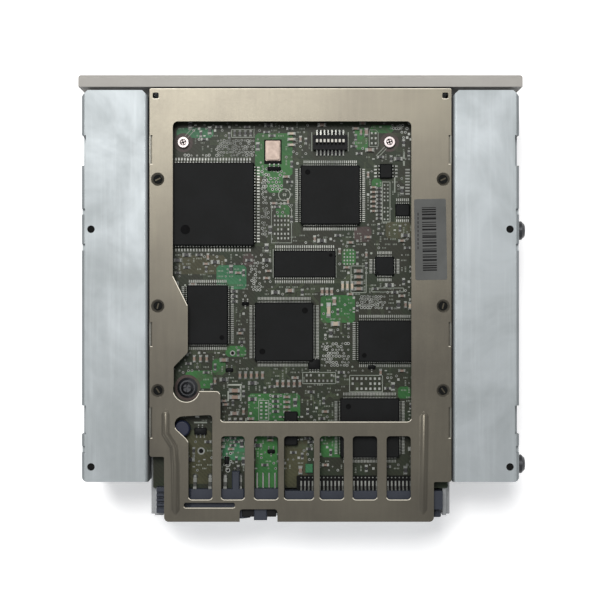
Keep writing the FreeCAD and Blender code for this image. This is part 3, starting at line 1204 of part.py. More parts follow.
def crystal_can():
    x, y = 9.3, 20.7
    base = rounded(x - 2.5, x + 2.5, y - 3.4, y + 3.4, BOARD_TOP, BOARD_TOP + 0.7, 0.4)
    lid = rounded(x - 2.2, x + 2.2, y - 3.1, y + 3.1, BOARD_TOP + 0.6, BOARD_TOP + 1.6, 0.6)
    return joined([base, lid])


write("crystal_can", [crystal_can()])


# ---------------------------------------------------------------- DIP switch
SWITCH_X = -10.0
SWITCH_Y = 18.0
SWITCH_COUNT = 8
SWITCH_PITCH = 1.27
SWITCH_WIDTH = 11.5
SWITCH_DEPTH = 4.9
SWITCH_HEIGHT = 2.4
SLIDER_WIDTH = 0.7
SLIDER_LENGTH = 1.0
SLIDER_TRAVEL = 1.0
SLIDER_FIT = 0.06
SLIDER_FLOOR = BOARD_TOP + 1.1
SLIDER_PROUD = 0.35
SLIDER_START = SWITCH_Y - (SLIDER_LENGTH + SLIDER_TRAVEL) / 2


def slider_x(index):
    return SWITCH_X + (index - (SWITCH_COUNT - 1) / 2) * SWITCH_PITCH


def dip_switch_body():
    x0 = SWITCH_X - SWITCH_WIDTH / 2
    y0 = SWITCH_Y - SWITCH_DEPTH / 2
    body = block(x0, x0 + SWITCH_WIDTH, y0, y0 + SWITCH_DEPTH, BOARD_TOP + 0.3,
                 BOARD_TOP + SWITCH_HEIGHT)
    leads = block(x0 + 1.0, x0 + SWITCH_WIDTH - 1.0, y0 - 1.6, y0 + SWITCH_DEPTH + 1.6,
                  BOARD_TOP, BOARD_TOP + 0.6)
    cuts = []
    for index in range(SWITCH_COUNT):
        x = slider_x(index)
        half = SLIDER_WIDTH / 2 + SLIDER_FIT
        cuts.append(block(x - half, x + half, SLIDER_START - SLIDER_FIT,
                          SLIDER_START + SLIDER_LENGTH + SLIDER_TRAVEL + SLIDER_FIT,
                          SLIDER_FLOOR - SLIDER_FIT, BOARD_TOP + SWITCH_HEIGHT + 1))
    return cut_all(joined([body, leads]), cuts)


write("dip_switch_body", [dip_switch_body()])
for index in range(SWITCH_COUNT):
    x = slider_x(index)
    write("dip_slider_" + str(index + 1),
          [block(x - SLIDER_WIDTH / 2, x + SLIDER_WIDTH / 2, SLIDER_START,
                 SLIDER_START + SLIDER_LENGTH, SLIDER_FLOOR,
                 BOARD_TOP + SWITCH_HEIGHT + SLIDER_PROUD)])


# ---------------------------------------------------------------- rear connectors
DATA_PINS = 34
DATA_PITCH = 1.27
DATA_SOCKET_DEPTH = 6.0
POWER_X = 27.9
POWER_PINS = 4
POWER_PITCH = 5.08
POWER_WIDTH = 22.0
POWER_START = BODY_LENGTH - 12.4
POWER_LOW = 28.0
POWER_HIGH = 38.8
POWER_WALL = 1.2
HEADER_X = 11.6
HEADER_PINS = 4
HEADER_PITCH = 2.0
HEADER_MARGIN = 2.0


def data_connector():
    """The shrouded data connector: a D-shaped socket with two rows of contacts inside."""
    half = DATA_WIDTH / 2
    body = block(DATA_X - half, DATA_X + half, DATA_START, CONNECTOR_END - 3.0, DATA_LOW, DATA_HIGH)
    middle = (DATA_LOW + DATA_HIGH) / 2
    inset = 3.4
    nose = slab_y([(DATA_X - half + inset, middle + 3.6, 1.2), (DATA_X + half - inset, middle + 3.6, 1.2),
                   (DATA_X + half - inset - 1.8, middle - 3.6, 1.2),
                   (DATA_X - half + inset + 1.8, middle - 3.6, 1.2)], DATA_START + 1, CONNECTOR_END)
    socket = slab_y([(DATA_X - half + inset + 0.9, middle + 2.7, 0.8),
                     (DATA_X + half - inset - 0.9, middle + 2.7, 0.8),
                     (DATA_X + half - inset - 2.5, middle - 2.7, 0.8),
                     (DATA_X - half + inset + 2.5, middle - 2.7, 0.8)],
                    CONNECTOR_END - DATA_SOCKET_DEPTH, CONNECTOR_END + 1)
    tongue = block(DATA_X - 22.2, DATA_X + 22.2, CONNECTOR_END - DATA_SOCKET_DEPTH - 1,
                   CONNECTOR_END - 1.2, middle - 0.9, middle + 0.9)
    ears = [rod_y(DATA_X + side * (half - 1.8), CONNECTOR_END - 3.2, CONNECTOR_END, middle, 1.6)
            for side in SIDES.values()]
    foot = block(DATA_X - half + 4, DATA_X + half - 4, DATA_START - 4.8, DATA_START + 0.2,
                 BOARD_TOP, BOARD_TOP + 0.6)
    whole = joined([body, nose] + ears)
    cuts = [socket]
    for side in SIDES.values():
        cuts.append(rod_y(DATA_X + side * (half - 1.8), CONNECTOR_END - 4, CONNECTOR_END + 1,
                          middle, 0.9))
    # the lower rear part rests over the edge of the board
    cuts.append(block(DATA_X - half - 1, DATA_X + half + 1, 0, BOARD_END + SEAT_GAP,
                      DATA_LOW - 1, BOARD_TOP))
    return joined([cut_all(whole, cuts), tongue, foot])


write("data_connector", [data_connector()])


def power_connector():
    """The four-way power inlet: a hood with two clipped corners, open at the rear."""
    x0 = POWER_X - POWER_WIDTH / 2
    x1 = POWER_X + POWER_WIDTH / 2
    clip = 2.2
    hood = slab_y([(x0, POWER_LOW, 0.4), (x1, POWER_LOW, 0.4), (x1, POWER_HIGH - clip, 0.4),
                   (x1 - clip, POWER_HIGH, 0.4), (x0 + clip, POWER_HIGH, 0.4),
                   (x0, POWER_HIGH - clip, 0.4)], POWER_START, CONNECTOR_END)
    low = POWER_LOW + POWER_WALL
    high = POWER_HIGH - POWER_WALL
    inner0 = x0 + POWER_WALL
    inner1 = x1 - POWER_WALL
    mouth = slab_y([(inner0, low, 0.3), (inner1, low, 0.3), (inner1, high - clip, 0.3),
                    (inner1 - clip, high, 0.3), (inner0 + clip, high, 0.3),
                    (inner0, high - clip, 0.3)], POWER_START + POWER_WALL + 1.0, CONNECTOR_END + 1)
    cuts = [mouth, block(x0 - 1, x1 + 1, 0, BOARD_END + SEAT_GAP, POWER_LOW - 1,
                         BOARD_TOP)]
    for index in range(POWER_PINS):
        x = POWER_X + (index - (POWER_PINS - 1) / 2) * POWER_PITCH
        cuts.append(rod_y(x, POWER_START - 1, CONNECTOR_END, (low + high) / 2, 1.05 + SEAT_GAP))
    return cut_all(hood, cuts)


write("power_connector", [power_connector()])


def power_pin(index):
    x = POWER_X + (index - (POWER_PINS - 1) / 2) * POWER_PITCH
    level = (POWER_LOW + POWER_HIGH) / 2
    shaft = rod_y(x, BOARD_END + 0.3, CONNECTOR_END - 2.0, level, 1.05)
    shaft = shaft.makeChamfer(0.4, [edge for edge in shaft.Edges
                                    if edge.BoundBox.YMin > CONNECTOR_END - 2.01])
    return shaft


write("power_pins", [power_pin(index) for index in range(POWER_PINS)])


def option_header():
    """A four-way pin header with its row of right-angle pins."""
    width = HEADER_PINS * HEADER_PITCH + HEADER_MARGIN
    body = block(HEADER_X - width / 2, HEADER_X + width / 2, BOARD_END - 2.0, CONNECTOR_END - 3.4,
                 BOARD_TOP, BOARD_TOP + 3.6)
    socket = block(HEADER_X - width / 2 + 0.8, HEADER_X + width / 2 - 0.8, BOARD_END + 2.0,
                   CONNECTOR_END, BOARD_TOP + 0.8, BOARD_TOP + 2.8)
    parts = [body.cut(socket)]
    for index in range(HEADER_PINS):
        x = HEADER_X + (index - (HEADER_PINS - 1) / 2) * HEADER_PITCH
        parts.append(block(x - 0.3, x + 0.3, BOARD_END - 5.2, BOARD_END - 1.8, BOARD_TOP,
                           BOARD_TOP + 0.5))
        parts.append(block(x - 0.3, x + 0.3, BOARD_END + 1.8, CONNECTOR_END - 4.4,
                           BOARD_TOP + 1.5, BOARD_TOP + 2.1))
    return joined(parts)


write("option_header", [option_header()])


def corner_rib():
    """The ribbed plastic end piece between the power inlet and the right-hand side frame."""
    x0 = POWER_X + POWER_WIDTH / 2 + 6.6
    x1 = x0 + 2.8
    first = BOARD_END - 0.7
    last = BOARD_END + 8.0
    core = block(x0, x1, first, last, BOARD_TOP, PLATE_BOTTOM - 1.4)
    grooves = [block(x0 - 1, x1 + 1, first + 1.6 + step * 1.6, first + 2.3 + step * 1.6,
                     PLATE_BOTTOM - 2.4, PLATE_BOTTOM) for step in range(4)]
    return cut_all(core, grooves)


write("rear_corner_rib", [corner_rib()])


# ---------------------------------------------------------------- flex cable and label
FLEX_SHEET = 0.3
FLEX_LENGTH = 15.5
FLEX_SPAN = (-20.0, -4.0)


def flex_cable():
    """The printed flex that turns from the deck up to the underside of the board."""
    x0, x1 = FLEX_SPAN
    rear = DECK_END + 1.5
    start = rear - FLEX_LENGTH
    corners = [(start, DECK_TOP, 0), (rear, DECK_TOP, 1.2), (rear, BOARD_Z, 0),
               (rear - FLEX_SHEET, BOARD_Z, 0), (rear - FLEX_SHEET, DECK_TOP + FLEX_SHEET, 0.9),
               (start, DECK_TOP + FLEX_SHEET, 0)]
    strip = slab(corners, x0, x1)
    # the section was drawn in Y and Z, so it is turned to run along X
    strip.rotate(point(0, 0), point(1, 1, 1), 120)
    return strip


write("flex_cable", [flex_cable()])

LABEL_WIDTH = 10.6
LABEL_LENGTH = 27.0
LABEL_X = -43.4
LABEL_Y = 50.8
LABEL_SHEET = 0.1
LABEL_TILT = 1.0


def stripe_label():
    label = rounded(LABEL_X - LABEL_WIDTH / 2, LABEL_X + LABEL_WIDTH / 2,
                    LABEL_Y - LABEL_LENGTH / 2, LABEL_Y + LABEL_LENGTH / 2,
                    PLATE_TOP, PLATE_TOP + LABEL_SHEET, 0.6)
    return turned(label, LABEL_TILT, (LABEL_X, LABEL_Y))


write("stripe_label", [stripe_label()])
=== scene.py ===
"""Looks of the data tape drive: sheet metal, circuit board, chips and leads, light and camera.

Sizes are in millimetres in the drive's own plan (X across, Y back from the bezel's rear plane, Z up
from the top cover) and are turned into the frame's metres by spot().
"""
import itertools
import json
import math
import random

import bmesh
import bpy
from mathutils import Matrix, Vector


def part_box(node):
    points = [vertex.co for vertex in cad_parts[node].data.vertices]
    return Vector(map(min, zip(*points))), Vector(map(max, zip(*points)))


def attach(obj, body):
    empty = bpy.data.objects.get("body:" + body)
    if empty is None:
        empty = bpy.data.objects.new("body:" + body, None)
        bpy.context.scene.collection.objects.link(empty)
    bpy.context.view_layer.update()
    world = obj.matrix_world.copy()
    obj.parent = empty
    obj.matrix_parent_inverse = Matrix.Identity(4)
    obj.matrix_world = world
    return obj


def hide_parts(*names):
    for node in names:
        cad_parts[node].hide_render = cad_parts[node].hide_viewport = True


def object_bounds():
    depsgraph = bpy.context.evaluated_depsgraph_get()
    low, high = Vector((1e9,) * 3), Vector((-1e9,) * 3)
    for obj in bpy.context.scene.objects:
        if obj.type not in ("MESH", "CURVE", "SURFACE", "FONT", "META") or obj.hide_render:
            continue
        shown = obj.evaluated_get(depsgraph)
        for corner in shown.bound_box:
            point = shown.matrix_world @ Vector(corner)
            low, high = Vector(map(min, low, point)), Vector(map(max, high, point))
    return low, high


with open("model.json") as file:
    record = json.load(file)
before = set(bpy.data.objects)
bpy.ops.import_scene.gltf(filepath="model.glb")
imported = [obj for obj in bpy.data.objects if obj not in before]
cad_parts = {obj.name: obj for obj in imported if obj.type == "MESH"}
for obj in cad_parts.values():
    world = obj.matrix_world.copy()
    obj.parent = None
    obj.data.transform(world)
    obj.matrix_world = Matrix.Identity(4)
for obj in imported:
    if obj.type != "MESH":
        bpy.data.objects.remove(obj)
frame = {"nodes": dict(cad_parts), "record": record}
cad_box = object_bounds()
NODES = frame["nodes"]
RECORD = frame["record"]
MM = 0.001
BODY_OF = {node: body for body, nodes in RECORD["behaviour"]["bodies"].items() for node in nodes}
SLOT_OF = {part["node"]: part["material_slot"] for part in RECORD["subparts"]}

# ---- places taken from the frame
BEZEL_DEPTH = 4.0
bezel_low, bezel_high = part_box("bezel")
CENTRE_X = (bezel_low.x + bezel_high.x) / 2
REAR_PLANE_Y = bezel_low.y + BEZEL_DEPTH * MM
BOARD_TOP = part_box("main_board")[1].z / MM
PLATE_TOP_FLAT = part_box("bottom_plate")[1].z / MM - 0.3


def spot(x, y, z):
    """A place of the drive's plan as a point of the frame."""
    return Vector((CENTRE_X + x * MM, REAR_PLANE_Y + y * MM, z * MM))


def in_plan(low, high):
    """A box of the frame in the drive's plan: low x, y, z and high x, y, z in millimetres."""
    return tuple(value for x, y, z in (low, high)
                 for value in ((x - CENTRE_X) / MM, (y - REAR_PLANE_Y) / MM, z / MM))


def plan(node):
    return in_plan(*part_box(node))


def middle(box):
    return (box[0] + box[3]) / 2, (box[1] + box[4]) / 2


def centred(count, step):
    """Even steps on both sides of a middle."""
    return [(index - (count - 1) / 2) * step for index in range(count)]


def bends(points):
    """Each point of a route with the way out of it and the mitre across it."""
    points = [Vector(point) for point in points]
    ways = [(end - start).normalized() for start, end in zip(points, points[1:])]
    for point, into, out in zip(points, ways[:1] + ways, ways + ways[-1:]):
        yield point, out, Vector((-(into.y + out.y), into.x + out.x)).normalized()


def lie(upright, along, across):
    """A length and a width as sizes in x and y."""
    return (across, along) if upright else (along, across)


def around(count):
    """Each index of a closed ring with the one after it."""
    return [(index, (index + 1) % count) for index in range(count)]


def circle(x, y, z, radius, sides):
    """A ring of points at one height."""
    return [(x + radius * math.cos(turn), y + radius * math.sin(turn), z)
            for turn in (math.tau * side / sides for side in range(sides))]


def tone(shown):
    """A display colour such as "ff8000" as the linear colour that a shader takes."""
    values = [part / 255 for part in bytes.fromhex(shown)]
    return (*(value / 12.92 if value <= 0.04045 else ((value + 0.055) / 1.055) ** 2.4
              for value in values), 1.0)


# ---- materials
class Finish:
    """A principled material with short calls for the textures that feed it."""

    def __init__(self, name, colour, metallic=0.0, roughness=0.5, **sockets):
        self.material = bpy.data.materials.new(name)
        self.material.use_nodes = True
        self.tree = self.material.node_tree
        self.shader = self.tree.nodes["Principled BSDF"]
        sockets.update(Base_Color=tone(colour), Metallic=metallic, Roughness=roughness)
        for socket, value in sockets.items():
            self.shader.inputs[socket.replace("_", " ")].default_value = value
        self.place = self.tree.nodes.new("ShaderNodeTexCoord").outputs["Object"]

    def node(self, kind, settings=(), **links):
        made = self.tree.nodes.new("ShaderNode" + kind)
        for key, value in dict(settings).items():
            setattr(made, key, value)
        for key, value in links.items():
            self.feed(made.inputs[key.replace("_", " ")], value)
        return made

    def feed(self, socket, value):
        if isinstance(value, bpy.types.NodeSocket):
            self.tree.links.new(value, socket)
        else:
            socket.default_value = value

    def scaled(self, x, y, z):
        return self.node("Mapping", Vector=self.place, Scale=(x, y, z)).outputs[0]

    def noise(self, scale, detail=3.0, roughness=0.55, place=None, distortion=0.0):
        return self.node("TexNoise", Vector=place or self.place, Scale=scale,
                         Detail=detail, Roughness=roughness, Distortion=distortion).outputs["Fac"]

    def span(self, value, low=0.3, high=0.7, out_low=0.0, out_high=1.0):
        """The value stretched from one range to another."""
        return self.node("MapRange", Value=value, From_Min=low, From_Max=high,
                         To_Min=out_low, To_Max=out_high).outputs[0]

    def mix(self, factor, first, second):
        """Two colours mixed; a mix node keeps its colour sockets after those for numbers."""
        made = self.node("Mix", {"data_type": "RGBA"})
        for index, value in ((0, factor), (6, first), (7, second)):
            self.feed(made.inputs[index], tone(value) if isinstance(value, str) else value)
        return made.outputs[2]

    def colour(self, value):
        self.feed(self.shader.inputs["Base Color"], value)

    def rough(self, value, at_low, at_high, high=0.7):
        """A roughness that follows a texture."""
        self.feed(self.shader.inputs["Roughness"], self.span(value, 0.3, high, at_low, at_high))

    def bump(self, height, depth_mm, strength=1.0):
        """Adds a relief on top of those that are there already."""
        normal = self.shader.inputs["Normal"]
        made = self.node("Bump", Height=height, Distance=depth_mm * MM, Strength=strength)
        if normal.is_linked:
            self.tree.links.new(normal.links[0].from_socket, made.inputs["Normal"])
        self.tree.links.new(made.outputs[0], normal)


def galvanised_steel(name):
    """Zinc-coated sheet: faint spangle, rubbed streaks along its length and dull stains."""
    steel = Finish(name, "9ba4a9", metallic=0.8, roughness=0.62)
    streak = steel.noise(1.0, 5, 0.6, place=steel.scaled(420, 18, 60))
    stain = steel.noise(34, 4, 0.6, distortion=0.8)
    spangle = steel.node("TexVoronoi", Vector=steel.place, Scale=420).outputs["Distance"]
    pale = steel.mix(steel.span(stain, 0.36, 0.68), "73787a", "7f8487")
    pale = steel.mix(steel.span(streak, 0.5, 0.78, 0, 0.22), pale, "9ea3a6")
    pale = steel.mix(steel.span(streak, 0.42, 0.2, 0, 0.18), pale, "686e72")
    steel.colour(steel.mix(steel.span(spangle, 0.2, 0.7, 0, 0.12), pale, "808486"))
    steel.rough(stain, 0.58, 0.48, 0.75)
    steel.bump(streak, 0.012, 0.3)
    steel.bump(steel.noise(1500, 2), 0.008, 0.4)
    return steel


def plate_steel(name):
    """The bottom plate: warm, fine-grained, nickel-like pressed steel."""
    steel = Finish(name, "4a4740", metallic=0.9, roughness=0.33)
    cloud = steel.noise(26, 4, 0.6)
    grain = steel.noise(2600, 3, 0.7)
    brushed = steel.noise(1.0, 4, 0.6, place=steel.scaled(900, 60, 60))
    body = steel.mix(steel.span(cloud), "423f39", "4e4b43")
    steel.colour(steel.mix(steel.span(brushed, 0.4, 0.8, 0, 0.1), body, "645f54"))
    steel.rough(grain, 0.3, 0.37)
    steel.bump(grain, 0.006, 0.5)
    steel.bump(cloud, 0.04, 0.3)
    return steel


def speckled(name, dark, light, roughness, clouds, fine, smoother, depth, **sockets):
    """Two tones in soft clouds, under a fine grain that the gloss and the relief follow."""
    made = Finish(name, dark, roughness=roughness, **sockets)
    cloud, grain = made.noise(*clouds), made.noise(*fine)
    made.colour(made.mix(made.span(cloud), dark, light))
    made.rough(grain, roughness - smoother, roughness + 0.08)
    made.bump(grain, depth, 0.5)
    return made


def plain_metal(name, dark, light, roughness, metallic=0.9, grain=700):
    """Sheet, cast or turned metal."""
    return speckled(name, dark, light, roughness, (60, 4, 0.6), (grain, 3, 0.65), 0.06, 0.012,
                    metallic=metallic)


def moulded(name, dark, light, roughness, specular=0.5, grain=1400, depth=0.012):
    """Moulded plastic, rubber, ink or ceramic."""
    return speckled(name, dark, light, roughness, (90, 3, 0.6), (grain, 2, 0.6), 0.05, depth,
                    Specular_IOR_Level=specular)


def solder_mask(name, dark, light, copper):
    """Green lacquer over copper: two greens in soft zones, with faint runs of traces."""
    board = Finish(name, dark, roughness=0.42, Specular_IOR_Level=0.12)
    zone = board.noise(85, 3, 0.5, distortion=0.4)
    weave = board.noise(1.0, 2, 0.5, place=board.scaled(2600, 2600, 200))
    trace = board.node("TexWave", {"bands_direction": "DIAGONAL"}, Vector=board.place,
                       Scale=420.0, Distortion=6.0, Detail=2.0, Detail_Scale=0.25).outputs["Fac"]
    base = board.mix(board.span(zone, 0.42, 0.62), dark, light)
    base = board.mix(board.span(trace, 0.65, 0.9, 0, 0.16), base, copper)
    board.colour(board.mix(board.span(weave, 0.3, 0.7, 0, 0.15), base, copper))
    board.bump(trace, 0.02, 0.4)
    return board


def epoxy(name):
    """The moulding compound of the chips: dark, matt, with a fine sparkle of filler."""
    black = Finish(name, "121314", roughness=0.6, Specular_IOR_Level=0.08)
    grain = black.noise(3200, 3, 0.7)
    cloud = black.noise(110, 3, 0.6)
    body = black.mix(black.span(cloud), "070808", "0d0e0f")
    black.colour(black.mix(black.span(grain, 0.55, 0.75, 0, 0.3), body, "222325"))
    black.rough(grain, 0.52, 0.68)
    black.bump(grain, 0.006, 0.6)
    return black


def clear_lens(name):
    """The light pipes."""
    lens = Finish(name, "ced6ce", roughness=0.12, Transmission_Weight=0.6, IOR=1.49)
    lens.rough(lens.noise(300), 0.08, 0.2)
    return lens


# the finishes by how they are made: name, darker and lighter tone, roughness and what else the
# maker takes
FINISHES = {
    galvanised_steel: (("galvanised_steel",),),
    plate_steel: (("plate_steel",),),
    plain_metal: (
        ("cover_steel", "929698", "a8abac", 0.4),
        ("cast_frame", "686a6c", "7e8081", 0.5, 0.9, 420),
        ("deck_steel", "808282", "969796", 0.38),
        ("crystal_metal", "7e7068", "92847a", 0.55, 0.6),
        ("pin_plating", "4c4e4c", "747571", 0.4, 0.85),
        ("screw_zinc", "7c7676", "968e8e", 0.42),
        ("screw_black", "222326", "303235", 0.34, 0.6),
        ("drum_alloy", "aaacae", "c0c2c3", 0.22),
        ("shaft_steel", "a0a2a4", "babcbe", 0.2),
        ("solder", "484a47", "7a7c78", 0.5, 0.6, 2400),
        # the painted highlight on the bottom plate's front-facing edges
        ("worn_edge", "b0aa9c", "c8c2b4", 0.45, 0.2),
        # a dark bronze screw tone, for the chassis screws and for the painted glints on the plate
        # holes' discs
        ("dull_screw", "28251e", "3a362c", 0.5, 0.8),
    ),
    solder_mask: (
        ("board_green", "1a1b14", "182216", "323626"),
        ("mask_bright", "1b4420", "265428", "3c643a"),
        ("mask_teal", "1e4c32", "2c5c3e", "467052"),
        ("mask_olive", "2a2a1c", "343424", "4c4c36"),
        ("mask_brown", "2e2624", "382f2d", "504440"),
    ),
    epoxy: (("chip_black",),),
    moulded: (
        ("switch_body", "0d0d0f", "141416", 0.55, 0.08),
        ("slider_white", "9e9c94", "aeaca4", 0.5),
        ("connector_grey", "1e222b", "272b34", 0.5, 0.2),
        ("label_grey", "484948", "525352", 0.65, 0.1),
        ("flex_amber", "965416", "ac6622", 0.3),
        ("mechanism_plastic", "222224", "2c2c2e", 0.5),
        ("gear_plastic", "c4c2b8", "d4d2c8", 0.45),
        ("roller_rubber", "1a1919", "222121", 0.75),
        ("bezel_plastic", "8d8a86", "92908b", 0.6, 0.3, 1100, 0.03),
        ("door_plastic", "94918c", "999691", 0.55, 0.3, 1100, 0.03),
        ("trace", "282f20", "37402c", 0.45, 0.15),
        ("silk", "686e66", "8c9088", 0.6, 0.2),
        ("resistor", "101012", "19191b", 0.4, 0.25),
        ("ceramic", "46362d", "604c3e", 0.45),
        ("pale_ceramic", "766a5c", "928472", 0.45),
        ("hole", "080909", "0e0f0e", 0.8, 0.1),
        ("dimple", "080808", "0c0c0d", 0.8, 0.05),
        ("ink", "101011", "181819", 0.65, 0.08),
        ("blue_sleeve", "101424", "1a1f32", 0.4, 0.2),
    ),
    clear_lens: (("lens_clear",),),
}
ALL = {name: maker(name, *rest).material
       for maker, rows in FINISHES.items() for name, *rest in rows}
# the chassis screws take the dark bronze screw tone
FINISH_OF = {"chassis_screws": "dull_screw"}
for node, thing in NODES.items():
    thing.data.materials.clear()
    thing.data.materials.append(ALL[FINISH_OF.get(node, SLOT_OF[node])])


# ---- dressed copies of CAD nodes
WELD_REACH, FRONT_REACH = 0.002, 0.05
FLAT_ANGLE, BEVEL_ANGLE, SMOOTH_ANGLE = 1.0, 32.0, 30.0


def placed(name, data):
    """A new object in the scene."""
    thing = bpy.data.objects.new(name, data)
    bpy.context.collection.objects.link(thing)
    return thing


def own(name, mesh, body):
    """A new piece on its body."""
    thing = placed(name, mesh)
    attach(thing, body)
    return thing


def soften(thing, width_mm, segments=2):
    """Small rounded edges, which catch the light as real ones do."""
    edges = thing.modifiers.new("edges", "BEVEL")
    edges.width, edges.segments = width_mm * MM, segments
    edges.limit_method, edges.angle_limit = "ANGLE", math.radians(BEVEL_ANGLE)
    edges.harden_normals = True


def smooth_by_angle(mesh, angle):
    """Smooth faces that keep every edge sharper than the angle."""
    mesh.polygons.foreach_set("use_smooth", [True] * len(mesh.polygons))
    mesh.set_sharp_from_angle(angle=math.radians(angle))


def welded(mesh):
    """A mesh to work on, in which neighbouring faces share their corners."""
    shape = bmesh.new()
    shape.from_mesh(mesh)
    bmesh.ops.remove_doubles(shape, verts=shape.verts, dist=WELD_REACH * MM)
    return shape


def dressed(node, width_mm, segments=2, front=None, drawn_back=0.0, front_finish=None):
    """A copy of a CAD node with its flat faces joined and its edges rounded.

    For a connector, front is the plane of its front face: that face is drawn back a little, and
    what lies before it, its leads, gets a finish of its own.
    """
    mesh = NODES[node].data.copy()
    shape = welded(mesh)
    bmesh.ops.dissolve_limit(shape, angle_limit=math.radians(FLAT_ANGLE), verts=shape.verts,
                             edges=shape.edges)
    if front is not None:
        level = spot(0, front, 0).y
        mesh.materials.append(ALL[front_finish or SLOT_OF[node]])
        for face in shape.faces:
            if face.calc_center_median().y < level - FRONT_REACH * MM:
                face.material_index = 1
        for vert in shape.verts:
            if abs(vert.co.y - level) < FRONT_REACH * MM:
                vert.co.y += drawn_back * MM
    shape.to_mesh(mesh)
    shape.free()
    smooth_by_angle(mesh, SMOOTH_ANGLE)
    thing = own(node + "_finished", mesh, BODY_OF[node])
    soften(thing, width_mm, segments)
    thing.modifiers.new("flat_faces", "WEIGHTED_NORMAL").keep_sharp = True
    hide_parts(node)


SHEET_EDGE, CAST_EDGE, PLASTIC_EDGE, HEADER_EDGE = 0.24, 0.2, 0.3, 0.12
CONNECTOR_DRAWN_BACK = 1.8
DATA_FOOT, HEADER_PIN = 4.8, 3.2
for node in ("bottom_plate", "rail_bracket_left", "rail_bracket_right", "top_cover"):
    dressed(node, SHEET_EDGE)
for node in ("side_frame_left", "side_frame_right", "rear_corner_rib"):
    dressed(node, CAST_EDGE)
data_front = plan("data_connector")[1] + DATA_FOOT
header_front = plan("option_header")[1] + HEADER_PIN
power_front = plan("power_connector")[1]
# the lead bank in front of the data connector's body is painted near-black with the hole finish
dressed("data_connector", CAST_EDGE, 2, data_front, 0.0, "hole")
dressed("option_header", HEADER_EDGE, 2, header_front, CONNECTOR_DRAWN_BACK, "pin_plating")
dressed("power_connector", CAST_EDGE, 2, power_front, CONNECTOR_DRAWN_BACK)
for node in ("bezel", "cassette_door", "eject_button"):
    dressed(node, PLASTIC_EDGE, 3)

# ---- small parts in bulk
class Batch:
    """Many small parts of one finish on the chassis, in one mesh.

    Sizes are plan millimetres, and z counts from the base, which is the top of the board unless
    another is given.
    """

    def __init__(self, name, slot, finish=None, base=BOARD_TOP):
        self.name, self.slot, self.finish, self.base = name, slot, finish or slot, base
        self.points, self.faces = [], []

    def add(self, points, faces):
        start = len(self.points)
        self.points.extend(points)
        self.faces.extend([tuple(start + index for index in face) for face in faces])

    def loft(self, rings):
        """A closed solid through rings that have the same number of points."""
        count = len(rings[0])
        points = [point for ring in rings for point in ring]
        faces = [tuple(reversed(range(count)))]
        for low in range(0, len(points) - count, count):
            high = low + count
            faces += [(low + side, low + after, high + after, high + side)
                      for side, after in around(count)]
        faces.append(tuple(range(len(points) - count, len(points))))
        self.add(points, faces)

    def block(self, x, y, z, width, depth, height, turn=0.0, chamfer=0.0):
        """An upright block, its top edge chamfered if asked."""
        levels = [(0, 0), (height, chamfer)]
        if chamfer:
            levels.insert(1, (height - chamfer, 0))
        cosine, sine = math.cos(turn), math.sin(turn)
        rings = []
        for rise, inset in levels:
            half_x, half_y = width / 2 - inset, depth / 2 - inset
            rings.append([(x + cosine * a - sine * b, y + sine * a + cosine * b, z + rise)
                          for a, b in ((-half_x, -half_y), (half_x, -half_y), (half_x, half_y),
                                       (-half_x, half_y))])
        self.loft(rings)

    def disc(self, x, y, z, radius, height, sides=14, top=None):
        """A round block; top is the radius of its upper face."""
        upper = radius if top is None else top
        self.loft([circle(x, y, z, radius, sides), circle(x, y, z + height, upper, sides)])

    def ring(self, x, y, z, inner, outer, height, sides=12):
        """A short tube, such as a washer or a printed circle."""
        corners = ((inner, 0), (outer, 0), (outer, height), (inner, height))
        rings = [circle(x, y, z + rise, reach, sides) for reach, rise in corners]
        points = [point for spoke in zip(*rings) for point in spoke]
        self.add(points, [(4 * side + corner, 4 * side + following,
                           4 * after + following, 4 * after + corner)
                          for side, after in around(sides) for corner, following in around(4)])

    def line(self, points, z, width, height):
        """A flat run along points, with mitred bends."""
        rings = []
        for point, out, across in bends(points):
            across *= width / 2 / max(0.3, across.dot(Vector((-out.y, out.x))))
            right, left = point - across, point + across
            rings.append([(*right, z), (*left, z), (*left, z + height), (*right, z + height)])
        self.loft(rings)

    def frame(self, x, y, z, width, depth, line, height, clipped=0.0):
        """A printed outline; clipped cuts its corner at low x and low y."""
        left, right = x - width / 2, x + width / 2
        near, far = y - depth / 2, y + depth / 2
        corners = [(left + clipped, near), (right, near), (right, far), (left, far),
                   (left, near + clipped), (left + clipped, near)]
        for start, end in zip(corners, corners[1:]):
            if start != end:
                self.line([start, end], z, line, height)

    def gull_wing(self, x, y, away, width, shoulder, foot, reach, sheet=0.15):
        """A lead that leaves a chip's side, steps down and ends in a flat foot."""
        away = Vector(away)
        across = Vector((-away.y, away.x)) * width / 2
        rings = []
        for out, high in ((-0.1, shoulder), (0.2 * reach, shoulder),
                          (FOOT_START * reach, foot + sheet), (reach, foot + sheet)):
            centre = Vector((x, y)) + away * out
            right, left = centre - across, centre + across
            rings.append([(*right, high - sheet), (*left, high - sheet), (*left, high),
                          (*right, high)])
        self.loft(rings)

    def done(self, edge=0.0, replaced=(), smooth=SMOOTH_ANGLE):
        """The finished object, with rounded edges if asked."""
        mesh = bpy.data.meshes.new(self.name)
        mesh.from_pydata([spot(x, y, self.base + z) for x, y, z in self.points], [], self.faces)
        shape = bmesh.new()
        shape.from_mesh(mesh)
        bmesh.ops.recalc_face_normals(shape, faces=shape.faces)
        shape.to_mesh(mesh)
        shape.free()
        mesh.materials.append(ALL[self.finish])
        if smooth:
            smooth_by_angle(mesh, smooth)
        thing = own(self.name, mesh, BODY_OF["main_board"])
        if edge:
            soften(thing, edge)
        if replaced:
            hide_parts(*replaced)


